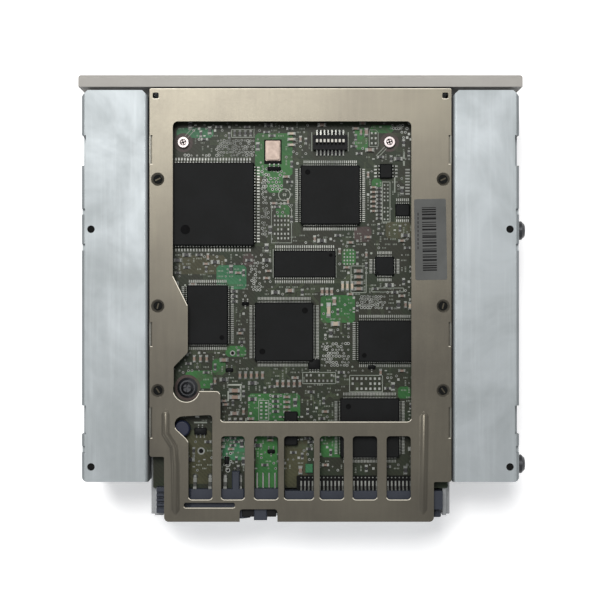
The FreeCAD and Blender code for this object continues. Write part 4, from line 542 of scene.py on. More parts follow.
# ---- chips
LEAD_REACH = 1.5
LEAD_WIDTH = 0.42
WIDEST_LEAD = 0.45
SHOULDER_HIGH = 0.42
FOOT_START = 0.58
PAD_WIDER = 1.25
STANDOFF = 0.25
COPPER = 0.04
PAD_OVER = 0.3
BODY_DRAFT = 0.22
TOP_CHAMFER = 0.22
CORNER_CUT = 0.3
DIMPLE_DEPTH = 0.12
DIMPLE_TAPER = 0.94
DIMPLE_SIDES = 24
# name: leads on each x side, leads on each y side, pitch, dimples as (x, y, radius) from the middle
CHIPS = {
    "controller_chip": (26, 26, 1, ((9.1, 8.6, 1.6),)),
    "processor_chip": (28, 28, 0.65, ((7.6, -7.6, 0.9),)),
    "memory_chip": (0, 27, 0.75, ((-8.8, -3, 0.6),)),
    "servo_chip": (30, 20, 0.65, ((-4.9, 7.6, 0.8),)),
    "signal_chip": (36, 36, 0.5, ((7.3, 6.6, 1), (-7, -7.2, 1))),
    "codec_chip": (20, 30, 0.65, ((8, 4.8, 0.8),)),
    "interface_chip": (36, 36, 0.5, ((7.2, -7.2, 0.9),)),
}
# the small chips from front to back: the same, in the order of their places
SMALL_CHIPS = (
    (4, 0, 1.15, ()),
    (0, 7, 0.65, ()),
    (10, 10, 0.5, ((2.3, 2.3, 0.3),)),
    (4, 0, 2.54, ()),
)
leads = Batch("chip_leads", "pin_plating")
pads = Batch("chip_pads", "pin_plating", "solder")
dimple_floors = Batch("chip_dimples", "chip_black", "dimple")
TAKEN = []


def take(x, y, width, depth, margin=0.35):
    """Books a piece of the board, so that no scattered part lands on it."""
    TAKEN.append((x - width / 2 - margin, y - depth / 2 - margin,
                  x + width / 2 + margin, y + depth / 2 + margin))


def is_free(x, y, width, depth):
    return not any(x + width / 2 > low_x and x - width / 2 < high_x and
                   y + depth / 2 > low_y and y - depth / 2 < high_y
                   for low_x, low_y, high_x, high_y in TAKEN)


def octagon(x, y, z, width, depth, cut):
    """A rectangle with cut corners, as a ring of points."""
    half_x, half_y = width / 2, depth / 2
    cut_x, cut_y = half_x - cut, half_y - cut
    return [(x + a, y + b, z) for a, b in (
        (-cut_x, -half_y), (cut_x, -half_y), (half_x, -cut_y), (half_x, cut_y),
        (cut_x, half_y), (-cut_x, half_y), (-half_x, cut_y), (-half_x, -cut_y))]


def chip_body(batch, x, y, width, depth, low, high, dimples):
    """A moulded body: drafted sides with a parting line, a chamfered top and ejector dimples."""
    cut = min(CORNER_CUT, width / 8)
    levels = ((low, BODY_DRAFT), ((low + high) / 2, 0.0), (high - TOP_CHAMFER, BODY_DRAFT * 0.7),
              (high, BODY_DRAFT + TOP_CHAMFER))
    rings = [octagon(x, y, z, width - 2 * inset, depth - 2 * inset, cut) for z, inset in levels]
    if not dimples:
        batch.loft(rings)
        return
    shape = bmesh.new()
    rings = [[shape.verts.new(point) for point in ring] for ring in rings]
    shape.faces.new(reversed(rings[0]))
    for below, above in zip(rings, rings[1:]):
        for side, after in around(len(below)):
            shape.faces.new((below[side], below[after], above[after], above[side]))
    rim = [shape.edges.get((rings[-1][side], rings[-1][after]))
           for side, after in around(len(rings[-1]))]
    for across, along, radius in dimples:
        mouth, hollow = [
            [shape.verts.new(point)
             for point in circle(x + across, y + along, z, reach, DIMPLE_SIDES)]
            for z, reach in ((high, radius), (high - DIMPLE_DEPTH, radius * DIMPLE_TAPER))]
        for side, after in around(DIMPLE_SIDES):
            rim.append(shape.edges.new((mouth[side], mouth[after])))
            shape.faces.new((mouth[side], mouth[after], hollow[after], hollow[side]))
        shape.faces.new(hollow)
    bmesh.ops.triangle_fill(shape, edges=rim, use_beauty=True)
    shape.verts.index_update()
    batch.add([tuple(vert.co) for vert in shape.verts],
              [tuple(vert.index for vert in face.verts) for face in shape.faces])
    shape.free()


def chip_leads(x, y, width, depth, side_count, end_count, pitch, high):
    """The leads of a chip on their soldered pads, side by side along its leaded edges."""
    shoulder = STANDOFF + SHOULDER_HIGH * high
    lead_width = min(LEAD_WIDTH * pitch, WIDEST_LEAD)
    pad_out = (1 + FOOT_START) / 2 * LEAD_REACH + PAD_OVER / 2
    pad_long, pad_wide = (1 - FOOT_START) * LEAD_REACH + PAD_OVER, lead_width * PAD_WIDER
    for away, count in (((1, 0), side_count), ((-1, 0), side_count),
                        ((0, 1), end_count), ((0, -1), end_count)):
        for along in centred(count, pitch):
            edge_x = x + away[0] * width / 2 + away[1] * along
            edge_y = y + away[1] * depth / 2 + away[0] * along
            leads.gull_wing(edge_x, edge_y, away, lead_width, shoulder, COPPER, LEAD_REACH)
            pads.block(edge_x + away[0] * pad_out, edge_y + away[1] * pad_out, 0,
                       *lie(away[1], pad_long, pad_wide), COPPER)


def islands(node):
    """The boxes of a node's loose solids in the drive's plan, front ones first."""
    shape = welded(NODES[node].data)
    waiting, boxes = set(shape.verts), []
    while waiting:
        front, found = [waiting.pop()], []
        while front:
            vert = front.pop()
            found.append(vert.co.copy())
            near = {edge.other_vert(vert) for edge in vert.link_edges} & waiting
            waiting -= near
            front.extend(near)
        boxes.append(in_plan(*([pick(values) for values in zip(*found)] for pick in (min, max))))
    shape.free()
    return sorted(boxes, key=lambda box: box[1] + box[4])


def finished_chip(batch, box, side_count, end_count, pitch, dimples):
    """A chip's body, leads and pads in the place of its box, which takes in the leads."""
    x, y = middle(box)
    high = box[5] - BOARD_TOP
    width = box[3] - box[0] - (2 * LEAD_REACH if side_count else 0)
    depth = box[4] - box[1] - (2 * LEAD_REACH if end_count else 0)
    chip_body(batch, x, y, width, depth, STANDOFF, high, dimples)
    for across, along, radius in dimples:
        dimple_floors.disc(x + across, y + along, high - DIMPLE_DEPTH, radius * DIMPLE_TAPER,
                           0.01, DIMPLE_SIDES)
    chip_leads(x, y, width, depth, side_count, end_count, pitch, high)
    outside = 2 * (LEAD_REACH + PAD_OVER)
    take(x, y, width + (outside if side_count else 0), depth + (outside if end_count else 0))


for name, (side_count, end_count, pitch, dimples) in CHIPS.items():
    body = Batch(name + "_body", "chip_black")
    finished_chip(body, plan(name), side_count, end_count, pitch, dimples)
    body.done(replaced=(name,), smooth=0)
small_bodies = Batch("small_chip_bodies", "chip_black")
for box, sizes in zip(islands("small_chips"), SMALL_CHIPS):
    finished_chip(small_bodies, box, *sizes)
small_bodies.done(replaced=("small_chips",), smooth=0)
dimple_floors.done()
leads.done()
pads.done()

# ---- circuit board
TRACE_HIGH = 0.03
PAD_HIGH = 0.05
SILK_HIGH = 0.06
SILK_LINE = 0.2
ZONE_HIGH = 0.01
ZONE_CUT = 0.9
LAYER_STEP = 0.0015
VIA_HOLE, PAD_BORE = 0.55, 0.62
GRID_SHAKE = 0.12
RESISTOR_HIGH, CERAMIC_HIGH = 0.45, 0.8
BOARD_SCREWS = ((39.5, 17.9), (-30, 17.8))
zones = {kind: Batch("board_zone_" + kind, "board_green", "mask_" + kind)
         for kind in ("bright", "teal", "olive", "brown")}
traces = Batch("board_traces", "board_green", "trace")
silk = Batch("board_print", "slider_white", "silk")
rings = Batch("board_vias", "pin_plating", "solder")
holes = Batch("board_holes", "chip_black", "hole")
part_pads = Batch("part_pads", "pin_plating", "solder")
part_bodies = {kind: Batch("parts_" + kind, slot, kind) for kind, slot in
               (("resistor", "chip_black"), ("ceramic", "crystal_metal"),
                ("pale_ceramic", "crystal_metal"))}
chance = random.Random(417)
layers = itertools.count(1)


def layered(height, levels=8):
    """A height with a hair's difference from the last one, so that overlaps never coincide."""
    return height + LAYER_STEP * (next(layers) % levels)


# areas where the lacquer looks brighter, bluer, more olive or browner: kind, x, y, width, depth
ZONES = (
    ("teal", 35.6, 14.6, 12.4, 3.4), ("bright", 9, 22, 12.6, 14.5),
    ("bright", 8.6, 31, 5.4, 7.5), ("bright", -20.5, 16.6, 4.4, 7.4),
    ("bright", -27.4, 13.4, 8, 2.6), ("bright", -25.7, 31.7, 3.4, 3.4),
    ("bright", 6, 41, 4.6, 4.2), ("brown", -21, 48.8, 5.9, 5.1),
    ("olive", 33.2, 59.1, 15.8, 6.4), ("teal", 23.3, 63.3, 10.1, 8.1),
    ("bright", -16.3, 56.5, 4.6, 5.6), ("bright", -12.6, 74, 11.6, 9.3),
    ("bright", 21.8, 88.3, 7, 3.7), ("bright", 27.5, 93.5, 4.4, 5.4),
    ("bright", 34.2, 97.8, 9.1, 6), ("bright", 8.9, 107.1, 17.6, 9.1),
    ("bright", -34.9, 102.2, 4.4, 4), ("bright", 11.5, 124, 7.4, 22),
    ("olive", 1.5, 124, 7.6, 20), ("bright", -10.6, 119, 7.6, 10),
    ("teal", 22.6, 121, 7.6, 8), ("olive", 36, 124, 12, 18),
    ("brown", 17.6, 57.4, 3.6, 4.2), ("olive", -26, 107.4, 18, 2.4),
    ("olive", 14.6, 29.4, 3.2, 5), ("olive", -33, 47.4, 8.6, 5.6))
for kind, x, y, width, depth in ZONES:
    zones[kind].loft([octagon(x, y, rise, width, depth, ZONE_CUT)
                      for rise in (0, layered(ZONE_HIGH))])


def via(x, y, radius):
    rings.ring(x, y, 0, radius * VIA_HOLE, radius, layered(PAD_HIGH), 12)
    holes.disc(x, y, 0, radius * VIA_HOLE, COPPER, 8)


def via_field(x, y, width, depth, pitch, kept):
    """Vias on a loose grid, some of them left out."""
    for column in range(int(width / pitch) + 1):
        for row in range(int(depth / pitch) + 1):
            shift = 0.5 * pitch if row % 2 else 0
            via_x = x - width / 2 + column * pitch + shift + chance.uniform(-GRID_SHAKE, GRID_SHAKE)
            via_y = y - depth / 2 + row * pitch + chance.uniform(-GRID_SHAKE, GRID_SHAKE)
            if chance.random() < kept and is_free(via_x, via_y, 0.7, 0.7):
                via(via_x, via_y, chance.choice((0.3, 0.4, 0.5)))
    take(x, y, width, depth, 0.3)


def two_pad(x, y, length, width, kind, upright):
    """A resistor or capacitor: a body between two soldered ends."""
    height = (RESISTOR_HIGH if kind == "resistor" else CERAMIC_HIGH) * min(1.6, width / 0.8)
    part_bodies[kind].block(x, y, COPPER, *lie(upright, length * 0.92, width * 0.9),
                            height, chamfer=0.05)
    for side in (-1, 1):
        out_x, out_y = lie(upright, side * length * 0.46, 0)
        part_pads.block(x + out_x, y + out_y, COPPER,
                        *lie(upright, length * 0.26, width), height + 0.03, chamfer=0.06)
        part_pads.block(x + out_x, y + out_y, 0,
                        *lie(upright, length * 0.5, width * 1.15), layered(PAD_HIGH))
    take(x, y, *lie(upright, length * 1.35, width), 0.15)


def part_row(x, y, count, step_x, step_y, length, width, kind, upright):
    for step in centred(count, 1):
        two_pad(x + step * step_x, y + step * step_y, length, width, kind, upright)


def pad_grid(x, y, columns, rows, pitch_x, pitch_y, pad_width, pad_depth, kept):
    """Bare soldered pads in rows and columns."""
    for across in centred(columns, pitch_x):
        for along in centred(rows, pitch_y):
            if chance.random() <= kept:
                part_pads.block(x + across, y + along, 0, pad_width, pad_depth, layered(PAD_HIGH))
    take(x, y, (columns - 1) * pitch_x + pad_width, (rows - 1) * pitch_y + pad_depth, 0.2)


def ticks(x, y, count, upright):
    """A few plain printed strokes, which mean nothing."""
    for step in centred(count, 0.5):
        out_x, out_y = lie(upright, step, 0)
        silk.block(x + out_x, y + out_y, 0, *lie(upright, 0.17, 0.5), SILK_HIGH)


# printed outlines: x, y, width, depth, corner clip
OUTLINES = (
    (19.5, 14.8, 7.6, 2.6, 0), (6.4, 45.1, 6.8, 13.2, 1.6), (-28.9, 37.9, 2.6, 13.5, 0),
    (-19.6, 64, 5.1, 9, 0), (12.4, 108.2, 3.4, 6.7, 0), (-6.3, 97.3, 11.1, 3.8, 0),
    (-22.1, 99.2, 11.1, 5.6, 0), (-24.7, 16.4, 3, 5.6, 0.8), (-29.4, 67.6, 10.7, 1.3, 0))
for x, y, width, depth, clip in OUTLINES:
    silk.frame(x, y, 0, width, depth, SILK_LINE, SILK_HIGH, clip)
# printed bars and lines: x, y, width, depth
BARS = (
    (-3.8, 17.6, 0.25, 6.4), (-16.1, 17.6, 0.25, 6.4), (9.2, 58.6, 0.25, 9.6),
    (-12, 58.6, 0.25, 9.6), (-34.9, 22.2, 0.6, 2.4), (-34.9, 24.9, 0.6, 1.6),
    (22.1, 99.6, 4.6, 0.5), (20.2, 102.5, 0.5, 5), (24.4, 103.4, 0.4, 3.4),
    (33.7, 112.3, 4.4, 0.5), (-31.8, 32.2, 0.4, 5.2), (15.6, 44, 0.3, 5.2),
    (1, 34, 0.3, 7), (-21.6, 88, 0.3, 3.8), (18.4, 112, 0.4, 2.4))
for x, y, width, depth in BARS:
    silk.block(x, y, 0, width, depth, SILK_HIGH)
# printed dots and circles
for x, y, radius in ((1, 24.9, 0.5), (-23.9, 55.2, 0.4), (-12.5, 102.9, 0.35),
                     (-17.5, 93.5, 0.35), (13.4, 24.6, 0.35), (38.9, 66, 0.35),
                     (-20, 72.8, 0.35)):
    silk.disc(x, y, 0, radius, SILK_HIGH)
silk.ring(5.4, 35.5, 0, 1.85, 2.1, SILK_HIGH, 28)
for turn in (45, -45):
    silk.block(5.4, 35.5, 0, 1.1, 0.35, SILK_HIGH, math.radians(turn))
for start in ((38.1, 16.3), (38.9, 15.6), (-28.4, 19.3), (-29, 19.9)):
    away = Vector((-2.9, -3.2)) if start[0] > 0 else Vector((2.9, 3))
    silk.line([start, tuple(Vector(start) + away)], 0, 0.22, SILK_HIGH)
for x, y in BOARD_SCREWS:
    zones["brown"].disc(x, y, 0, 3.2, layered(0.02), 32)
    take(x, y, 6.6, 6.6)
zones["brown"].disc(38.1, 100.6, 0, 4.4, layered(0.02), 36)
take(38.1, 100.6, 8.4, 8.4)

# booked before anything is scattered: the switch and the crystal with their leads
take(-10, 18, 12.6, 9)
take(9.3, 20.7, 6.4, 7.8)
# fields of vias: x, y, width, depth, pitch, share kept
VIA_FIELDS = (
    (22, 19.9, 12.4, 5.4, 1, 0.9), (12.3, 37.4, 1.6, 25, 0.95, 0.75),
    (8.6, 30.8, 4.6, 6.6, 1.25, 0.85), (-24.3, 72.1, 8, 4.6, 0.95, 0.85),
    (-11.9, 89.8, 8.6, 8.2, 1.05, 0.75), (35, 23, 8.4, 1.6, 1, 0.5),
    (-33.6, 12.9, 5.4, 1.4, 0.9, 0.6), (-1.5, 29.2, 2.4, 3.4, 0.9, 0.7),
    (15, 63, 3.4, 9, 1, 0.6), (24.4, 126, 1.6, 6.4, 1.3, 0.9))
for field in VIA_FIELDS:
    via_field(*field)
# bare pads: x, y, columns, rows, pitches, pad size, share kept
PAD_GRIDS = (
    (6.4, 46.4, 5, 6, 1.15, 1.5, 0.5, 0.7, 0.9),
    (-28.9, 38, 2, 10, 1.1, 1.28, 0.5, 0.5, 0.95),
    (-16.3, 56.5, 4, 5, 1, 1.15, 0.5, 0.55, 0.95),
    (-36.1, 31.1, 1, 9, 1, 1.02, 1.5, 0.5, 1),
    (-6.3, 97.3, 7, 2, 1.4, 1.9, 0.6, 0.8, 0.9),
    (-22.1, 99.2, 7, 3, 1.5, 1.7, 0.7, 0.8, 0.9),
    (12.4, 108.2, 2, 5, 1.7, 1.25, 0.8, 0.6, 1),
    (-24.7, 16.4, 2, 3, 1.3, 1.7, 0.6, 0.7, 0.9))
for grid in PAD_GRIDS:
    pad_grid(*grid)
# rows of parts: x, y, count, steps, length, width, kind, upright
PART_ROWS = (
    (3, 16.8, 3, 0, 1.9, 1.9, 0.9, "pale_ceramic", False),
    (19.5, 14.8, 4, 1.8, 0, 1.6, 0.8, "resistor", True),
    (-26.5, 38.4, 9, 0, 1.28, 1.5, 0.75, "resistor", False),
    (-24.6, 37, 6, 0, 1.6, 1.5, 0.75, "ceramic", False),
    (-19.6, 64.2, 4, 0, 2, 2.2, 1.1, "ceramic", False),
    (-15.8, 66.3, 3, 1.6, 0, 2.4, 0.9, "pale_ceramic", True),
    (-8.9, 68.2, 3, 1.6, 0, 1.9, 1, "ceramic", True),
    (-9.5, 74.4, 1, 0, 0, 3.6, 1.3, "pale_ceramic", True),
    (-11.8, 79, 1, 0, 0, 2.2, 1.5, "pale_ceramic", False),
    (22.1, 102.6, 2, 0, 2.2, 3, 1.3, "ceramic", False),
    (16.6, 96.4, 5, 1.9, 0, 1.9, 0.9, "ceramic", True),
    (4, 99.2, 5, 1.9, 0, 1.8, 0.9, "ceramic", True),
    (33.7, 90.8, 3, 2.1, 0, 1.8, 0.9, "ceramic", True),
    (36.2, 67.6, 3, 0, 1.8, 2, 1, "ceramic", False),
    (22.4, 69.8, 3, 0, 1.7, 1.8, 0.9, "resistor", False),
    (-37, 73, 1, 0, 0, 2, 1.2, "pale_ceramic", True),
    (8.4, 106, 4, 0, 1.7, 1.7, 0.85, "resistor", False),
    (4.6, 106.2, 4, 0, 1.7, 1.7, 0.85, "ceramic", False),
    (22, 112, 3, 1.9, 0, 1.8, 0.9, "resistor", True),
    (30, 107.4, 3, 0, 1.9, 2, 1, "resistor", False),
    (26.9, 118.2, 3, 0, 2.2, 2, 1, "pale_ceramic", False))
for row in PART_ROWS:
    part_row(*row)

# ---- leads of the rear connectors
DATA_PINS, DATA_PITCH = 34, 1.27
POWER_PINS, POWER_PITCH = 4, 5.08
RAISED_FOOT = 0.62
tails = Batch("connector_leads", "pin_plating")
for step in centred(DATA_PINS, DATA_PITCH):
    x = middle(plan("data_connector"))[0] + step
    tails.gull_wing(x, data_front + 0.9, (0, -1), width=0.52, shoulder=2.3,
                    foot=RAISED_FOOT, reach=4, sheet=0.25)
    tails.disc(x, data_front - 4.2, 0.5, radius=0.34, height=0.35, sides=10, top=0.2)
for step in centred(POWER_PINS, POWER_PITCH):
    x = middle(plan("power_connector"))[0] + step
    tails.gull_wing(x, power_front + CONNECTOR_DRAWN_BACK, (0, -1), width=1.1,
                    shoulder=1.9, foot=COPPER, reach=3.6, sheet=0.4)
    tails.disc(x, power_front - 2.2, 0, radius=0.95, height=0.5, sides=14, top=0.5)
tails.done()
socket = Batch("rear_socket", "connector_grey", "ink")
socket.block(13.9, 141.4, -2.4, 11.4, 4.4, 6.3, chamfer=0.2)
socket.done(0.1)
latch = Batch("rear_latches", "connector_grey")
latch.block(13.4, 142.4, -2, 4.4, 4.6, 6.4, chamfer=0.3)
latch.block(21.7, 132.2, 0, 2.6, 7.6, 3.4, chamfer=0.3)
latch.done(0.1)

# ---- larger parts near the connectors
dark_parts = Batch("dark_parts", "chip_black")
legs = Batch("dark_part_legs", "pin_plating")


def legged_part(x, y, width, depth, height, legs_near, legs_far, pitch):
    """A small moulded part with legs along its near and far edges."""
    chip_body(dark_parts, x, y, width, depth, 0.1, height, ())
    for away, count in ((-1, legs_near), (1, legs_far)):
        for step in centred(count, pitch):
            legs.gull_wing(x + step, y + away * depth / 2, (0, away), width=0.4,
                           shoulder=height * 0.5, foot=COPPER, reach=1)
    take(x, y, width, depth + 2.4)


LEGGED_PARTS = (
    (8.9, 26.7, 4.6, 1.4, 1, 3, 0, 1.5), (33.7, 115.2, 4.2, 2.4, 1.4, 2, 3, 1.3),
    (-24, 93.6, 2.6, 1.4, 1, 2, 1, 1.6), (24, 94.6, 2.6, 1.4, 1, 2, 1, 1.6),
    (18.6, 72.2, 2.4, 1.3, 1, 2, 1, 1.5), (-4.6, 92.6, 4, 3.4, 1.3, 4, 4, 0.9),
    (24.8, 125, 1.6, 2.6, 1.2, 1, 1, 1), (9.9, 122, 2.6, 1.4, 1, 2, 1, 1.6))
for part in LEGGED_PARTS:
    legged_part(*part)
capacitor = Batch("can_capacitor", "connector_grey", "blue_sleeve")
capacitor.disc(39.8, 114.2, 0, 2.8, 2.6, 32)
capacitor.disc(39.8, 114.2, 2.6, 2.8, 0.5, 32, 2.3)
capacitor.done(0.1)
take(39.8, 114.2, 6, 6)
inductor = Batch("teal_inductor", "board_green", "mask_teal")
inductor.block(-2.9, 127.7, 0, 2.5, 3, 0.9, chamfer=0.15)
inductor.done(0.05)
take(-2.9, 127.7, 3, 3.4)
# bored round pads: x, y, radius
for x, y, radius in ((33.5, 121.9, 1.25), (24.5, 126.4, 0.9), (24.5, 128.4, 0.8),
                     (22.9, 88.9, 0.9)):
    rings.ring(x, y, 0, radius * PAD_BORE, radius, PAD_HIGH, 24)
    holes.disc(x, y, 0, radius * PAD_BORE, COPPER, 20)
    take(x, y, radius * 2, radius * 2)
dark_parts.done()
legs.done()

# the switch's leads and the dark seat of the crystal
switch_box = plan("dip_switch_body")
SWITCH_LEADS, SWITCH_PITCH, SWITCH_LEAD_REACH = 8, 1.27, 1.6
switch_leads = Batch("switch_leads", "pin_plating")
for step in centred(SWITCH_LEADS, SWITCH_PITCH):
    for away, edge in ((-1, switch_box[1] + SWITCH_LEAD_REACH),
                       (1, switch_box[4] - SWITCH_LEAD_REACH)):
        switch_leads.gull_wing(middle(switch_box)[0] + step, edge, (0, away), width=0.5,
                               shoulder=1, foot=RAISED_FOOT,
                               reach=SWITCH_LEAD_REACH + 0.25)
switch_leads.done()
crystal_box = plan("crystal_can")
crystal_x, crystal_y = middle(crystal_box)
holes.block(crystal_x, crystal_y + 0.3, 0, crystal_box[3] - crystal_box[0] + 0.9,
            crystal_box[4] - crystal_box[1] + 1.5, COPPER)

# ---- screws seen from the board side
HEAD_RADIUS, HEAD_HEIGHT = 1.95, 1.35
SOCKET_RADIUS, SOCKET_DEPTH = 0.95, 0.5
screws = Batch("board_screw_heads", "screw_zinc")
recesses = Batch("board_screw_recesses", "chip_black", "hole")
for x, y in BOARD_SCREWS:
    screws.ring(x, y, 0, SOCKET_RADIUS, HEAD_RADIUS, HEAD_HEIGHT, 32)
    screws.disc(x, y, 0, SOCKET_RADIUS + 0.05, HEAD_HEIGHT - SOCKET_DEPTH, 24)
    for turn in (20, 110):
        recesses.block(x, y, HEAD_HEIGHT - SOCKET_DEPTH - 0.02, width=1.7, depth=0.42,
                       height=0.06, turn=math.radians(turn))
screws.done(0.25, ("board_screws",))
recesses.done()

# ---- raised beads of the bottom plate
BEAD_HALF, BEAD_RISE, BEAD_END = 1.7, 0.5, 0.3
BEAD_SUNK = 0.02
BEAD_STEPS = 12


def raised_bead(batch, route):
    """A pressed ridge with a round back and sunk ends along a route of the plate."""
    path = [Vector(place) for place in route]
    path = [path[0] - (path[1] - path[0]).normalized() * BEAD_HALF] + path + [
        path[-1] + (path[-1] - path[-2]).normalized() * BEAD_HALF]
    sections = []
    for index, (place, _, across) in enumerate(bends(path)):
        end = index in (0, len(path) - 1)
        section = []
        for step in range(BEAD_STEPS + 1):
            share = 1 - 2 * step / BEAD_STEPS
            out_by = BEAD_HALF * share * (BEAD_END if end else 1)
            rise = 0.0 if end else BEAD_RISE * (1 + math.cos(math.pi * share)) / 2
            section.append((*(place + across * out_by), rise - BEAD_SUNK))
        sections.append(section)
    batch.loft(sections)


beads = Batch("plate_beads", "plate_steel", base=PLATE_TOP_FLAT)
bead_end = plan("bottom_plate")[4] - 4.0
raised_bead(beads, ((45, 109), (45, 115.6), (42.3, 120), (41.8, 126), (41.7, bead_end)))
raised_bead(beads, ((-41.3, 109.8), (-41.1, 124), (-40.8, bead_end)))
beads.done(smooth=60)

# ---- painted highlights along the plate's edges that face the front
RIM_WIDTH, RIM_RISE, RIM_SUNK = 0.22, 0.012, 0.01
WALL_TILT = 0.2
WALL_FACES_FRONT = -0.35
rim_highlights = Batch("plate_rim_highlights", "plate_steel", "worn_edge", PLATE_TOP_FLAT)
shape = welded(NODES["bottom_plate"].data)
shape.normal_update()
# a painted highlight: a thin bright line on each edge of the flat face whose wall looks to the
# front, toward the key lamp
for edge in shape.edges:
    ends = in_plan(*(vert.co for vert in edge.verts))
    flat = max(abs(ends[2] - PLATE_TOP_FLAT), abs(ends[5] - PLATE_TOP_FLAT)) < 0.01
    walls = [face.normal for face in edge.link_faces if abs(face.normal.z) < WALL_TILT]
    if flat and len(walls) == 1 and walls[0].y <= WALL_FACES_FRONT:
        start, end, inward = Vector(ends[:2]), Vector(ends[3:5]), walls[0].xy * -RIM_WIDTH
        ring = [start, end, end + inward, start + inward]
        rim_highlights.loft([[(*point, rise) for point in ring] for rise in (-RIM_SUNK, RIM_RISE)])
shape.free()
rim_highlights.done(smooth=0)

# ---- plate holes with painted shade and painted glints, slits, bracket bores with painted shade
PLATE_HOLE_X, PLATE_HOLE_YS, PLATE_HOLE_RADIUS = 47.625, (30.7, 73, 101.2), 1.47
BAY_HOLE_X, BAY_HOLE_YS, BAY_HOLE_RADIUS = 69.85, (47.4, 126.65), 1.24
SLIT_X, SLIT_SPANS = 50.2, ((16, 25.6), (78.4, 86.4), (106.8, 117))
# near-black discs sunk in the plate holes are painted shade, each with a lighter slot-shaped bar
# that is a painted glint
plate_hole_shade = Batch("plate_hole_shade", "screw_black", "hole", PLATE_TOP_FLAT)
slot_glints = Batch("plate_screw_slot_glints", "screw_black", "dull_screw", PLATE_TOP_FLAT)
behind_slits = Batch("slit_steel", "cover_steel", "pin_plating", PLATE_TOP_FLAT)
for side in (-1, 1):
    for index, y in enumerate(PLATE_HOLE_YS):
        plate_hole_shade.disc(side * PLATE_HOLE_X, y, -1, PLATE_HOLE_RADIUS, height=0.45, sides=24)
        slot_glints.block(side * PLATE_HOLE_X, y, -0.56, width=1.9, depth=0.4,
                    height=0.06, turn=math.radians(25 + 50 * index))
    for near, far in SLIT_SPANS:
        behind_slits.block(side * SLIT_X, (near + far) / 2, -0.7, width=0.5,
                           depth=far - near - 0.3, height=0.3)
# a near-black disc sunk in each bracket bore is painted shade
for node in ("rail_bracket_left", "rail_bracket_right"):
    side_x, top = plan(node)[0], plan(node)[5] - PLATE_TOP_FLAT
    for y in BAY_HOLE_YS:
        plate_hole_shade.disc(math.copysign(BAY_HOLE_X, side_x), y, top - 0.9, BAY_HOLE_RADIUS,
                          height=0.2, sides=24)
plate_hole_shade.done()
slot_glints.done()
behind_slits.done()

# ---- striped label
LABEL_TILT = math.radians(1)
STRIPE_LONG, INK_HIGH = 4.7, 0.02
STRIPES_START, STRIPES_END = -10.6, 10.4
TICK_COUNT, TICK_STEP = 9, 1.4
label_x, label_y = middle(plan("stripe_label"))
stripes = Batch("label_stripes", "label_grey", "ink", plan("stripe_label")[5])
pattern = random.Random(29)
along = STRIPES_START
while along < STRIPES_END:
    thick = pattern.choice((0.22, 0.3, 0.45, 0.6))
    stripes.block(label_x + 0.4 - along * math.sin(LABEL_TILT), label_y + along, 0,
                  STRIPE_LONG, thick, INK_HIGH, LABEL_TILT)
    along += thick + pattern.choice((0.3, 0.42, 0.6))
for index in range(TICK_COUNT):
    stripes.block(label_x + 4.2, label_y - 8.4 + TICK_STEP * index, 0, 0.3, 0.9, INK_HIGH,
                  LABEL_TILT)
stripes.done()

# ---- what fills the rest of the board
BOARD_LEFT, BOARD_RIGHT = -38.6, 42.6
BOARD_NEAR, BOARD_FAR = 11.6, 128.6
SCATTER_TRIES, SCATTER_STEP = 9000, 0.6
# what a try places: parts below the first share, then vias, then strokes, and pads above the last
PARTS_SHARE, VIAS_SHARE, STROKES_SHARE = 0.36, 0.6, 0.94
BUNDLES, TRACE_STEP, TRACE_WIDTH = 150, 0.42, 0.16


def scattered_parts():
    """Small parts, vias and printed strokes on the free spots, lined up on a fine grid."""
    for _ in range(SCATTER_TRIES):
        x = round(chance.uniform(BOARD_LEFT, BOARD_RIGHT) / SCATTER_STEP) * SCATTER_STEP
        y = round(chance.uniform(BOARD_NEAR, BOARD_FAR) / SCATTER_STEP) * SCATTER_STEP
        pick = chance.random()
        if pick < PARTS_SHARE:
            length, width = chance.choice(((1.7, 0.85), (1.6, 0.8), (2.1, 1.2)))
            upright = chance.random() < 0.5
            if is_free(x, y, *lie(upright, length * 1.3, width * 1.3)):
                two_pad(x, y, length, width, chance.choice(("resistor", "ceramic", "resistor")),
                        upright)
        elif pick < VIAS_SHARE:
            if is_free(x, y, 0.8, 0.8):
                via(x, y, chance.choice((0.24, 0.3, 0.42)))
                take(x, y, 0.6, 0.6, 0.1)
        elif pick < STROKES_SHARE:
            upright = chance.random() < 0.4
            size = lie(upright, 1.9, 0.7)
            if is_free(x, y, *size):
                ticks(x, y, chance.choice((3, 4)), upright)
                take(x, y, *size, 0.05)
        elif is_free(x, y, 1.2, 1.2):
            part_pads.block(x, y, 0, 0.8, chance.choice((0.4, 0.8)), layered(PAD_HIGH))
            take(x, y, 0.9, 0.9, 0.1)


def trace_bundles():
    """Parallel traces that run straight, turn 45 degrees and run on."""
    for _ in range(BUNDLES):
        x = chance.uniform(BOARD_LEFT + 4, BOARD_RIGHT - 4)
        y = chance.uniform(BOARD_NEAR, BOARD_FAR)
        first = chance.choice(((1, 0), (0, 1), (-1, 0), (0, -1)))
        bend = chance.choice((-1, 1))
        second = (first[0] - bend * first[1], first[1] + bend * first[0])
        third = (-bend * first[1], bend * first[0]) if chance.random() < 0.4 else first
        lengths = [chance.uniform(1.5, 5), chance.uniform(1, 2.6), chance.uniform(1.5, 5)]
        for index in range(chance.choice((2, 3, 4, 6))):
            side = index * TRACE_STEP
            path = [Vector((x - first[1] * side, y + first[0] * side))]
            for step, length in zip((first, second, third), lengths):
                path.append(path[-1] + Vector(step) * length)
            if all(BOARD_LEFT - 2 < point.x < BOARD_RIGHT + 2 and
                   BOARD_NEAR - 2 < point.y < BOARD_FAR for point in path):
                traces.line(path, 0, TRACE_WIDTH, layered(TRACE_HIGH, 6))


trace_bundles()
scattered_parts()
for batch in (*zones.values(), traces, silk, rings, holes, part_pads, *part_bodies.values()):
    batch.done()

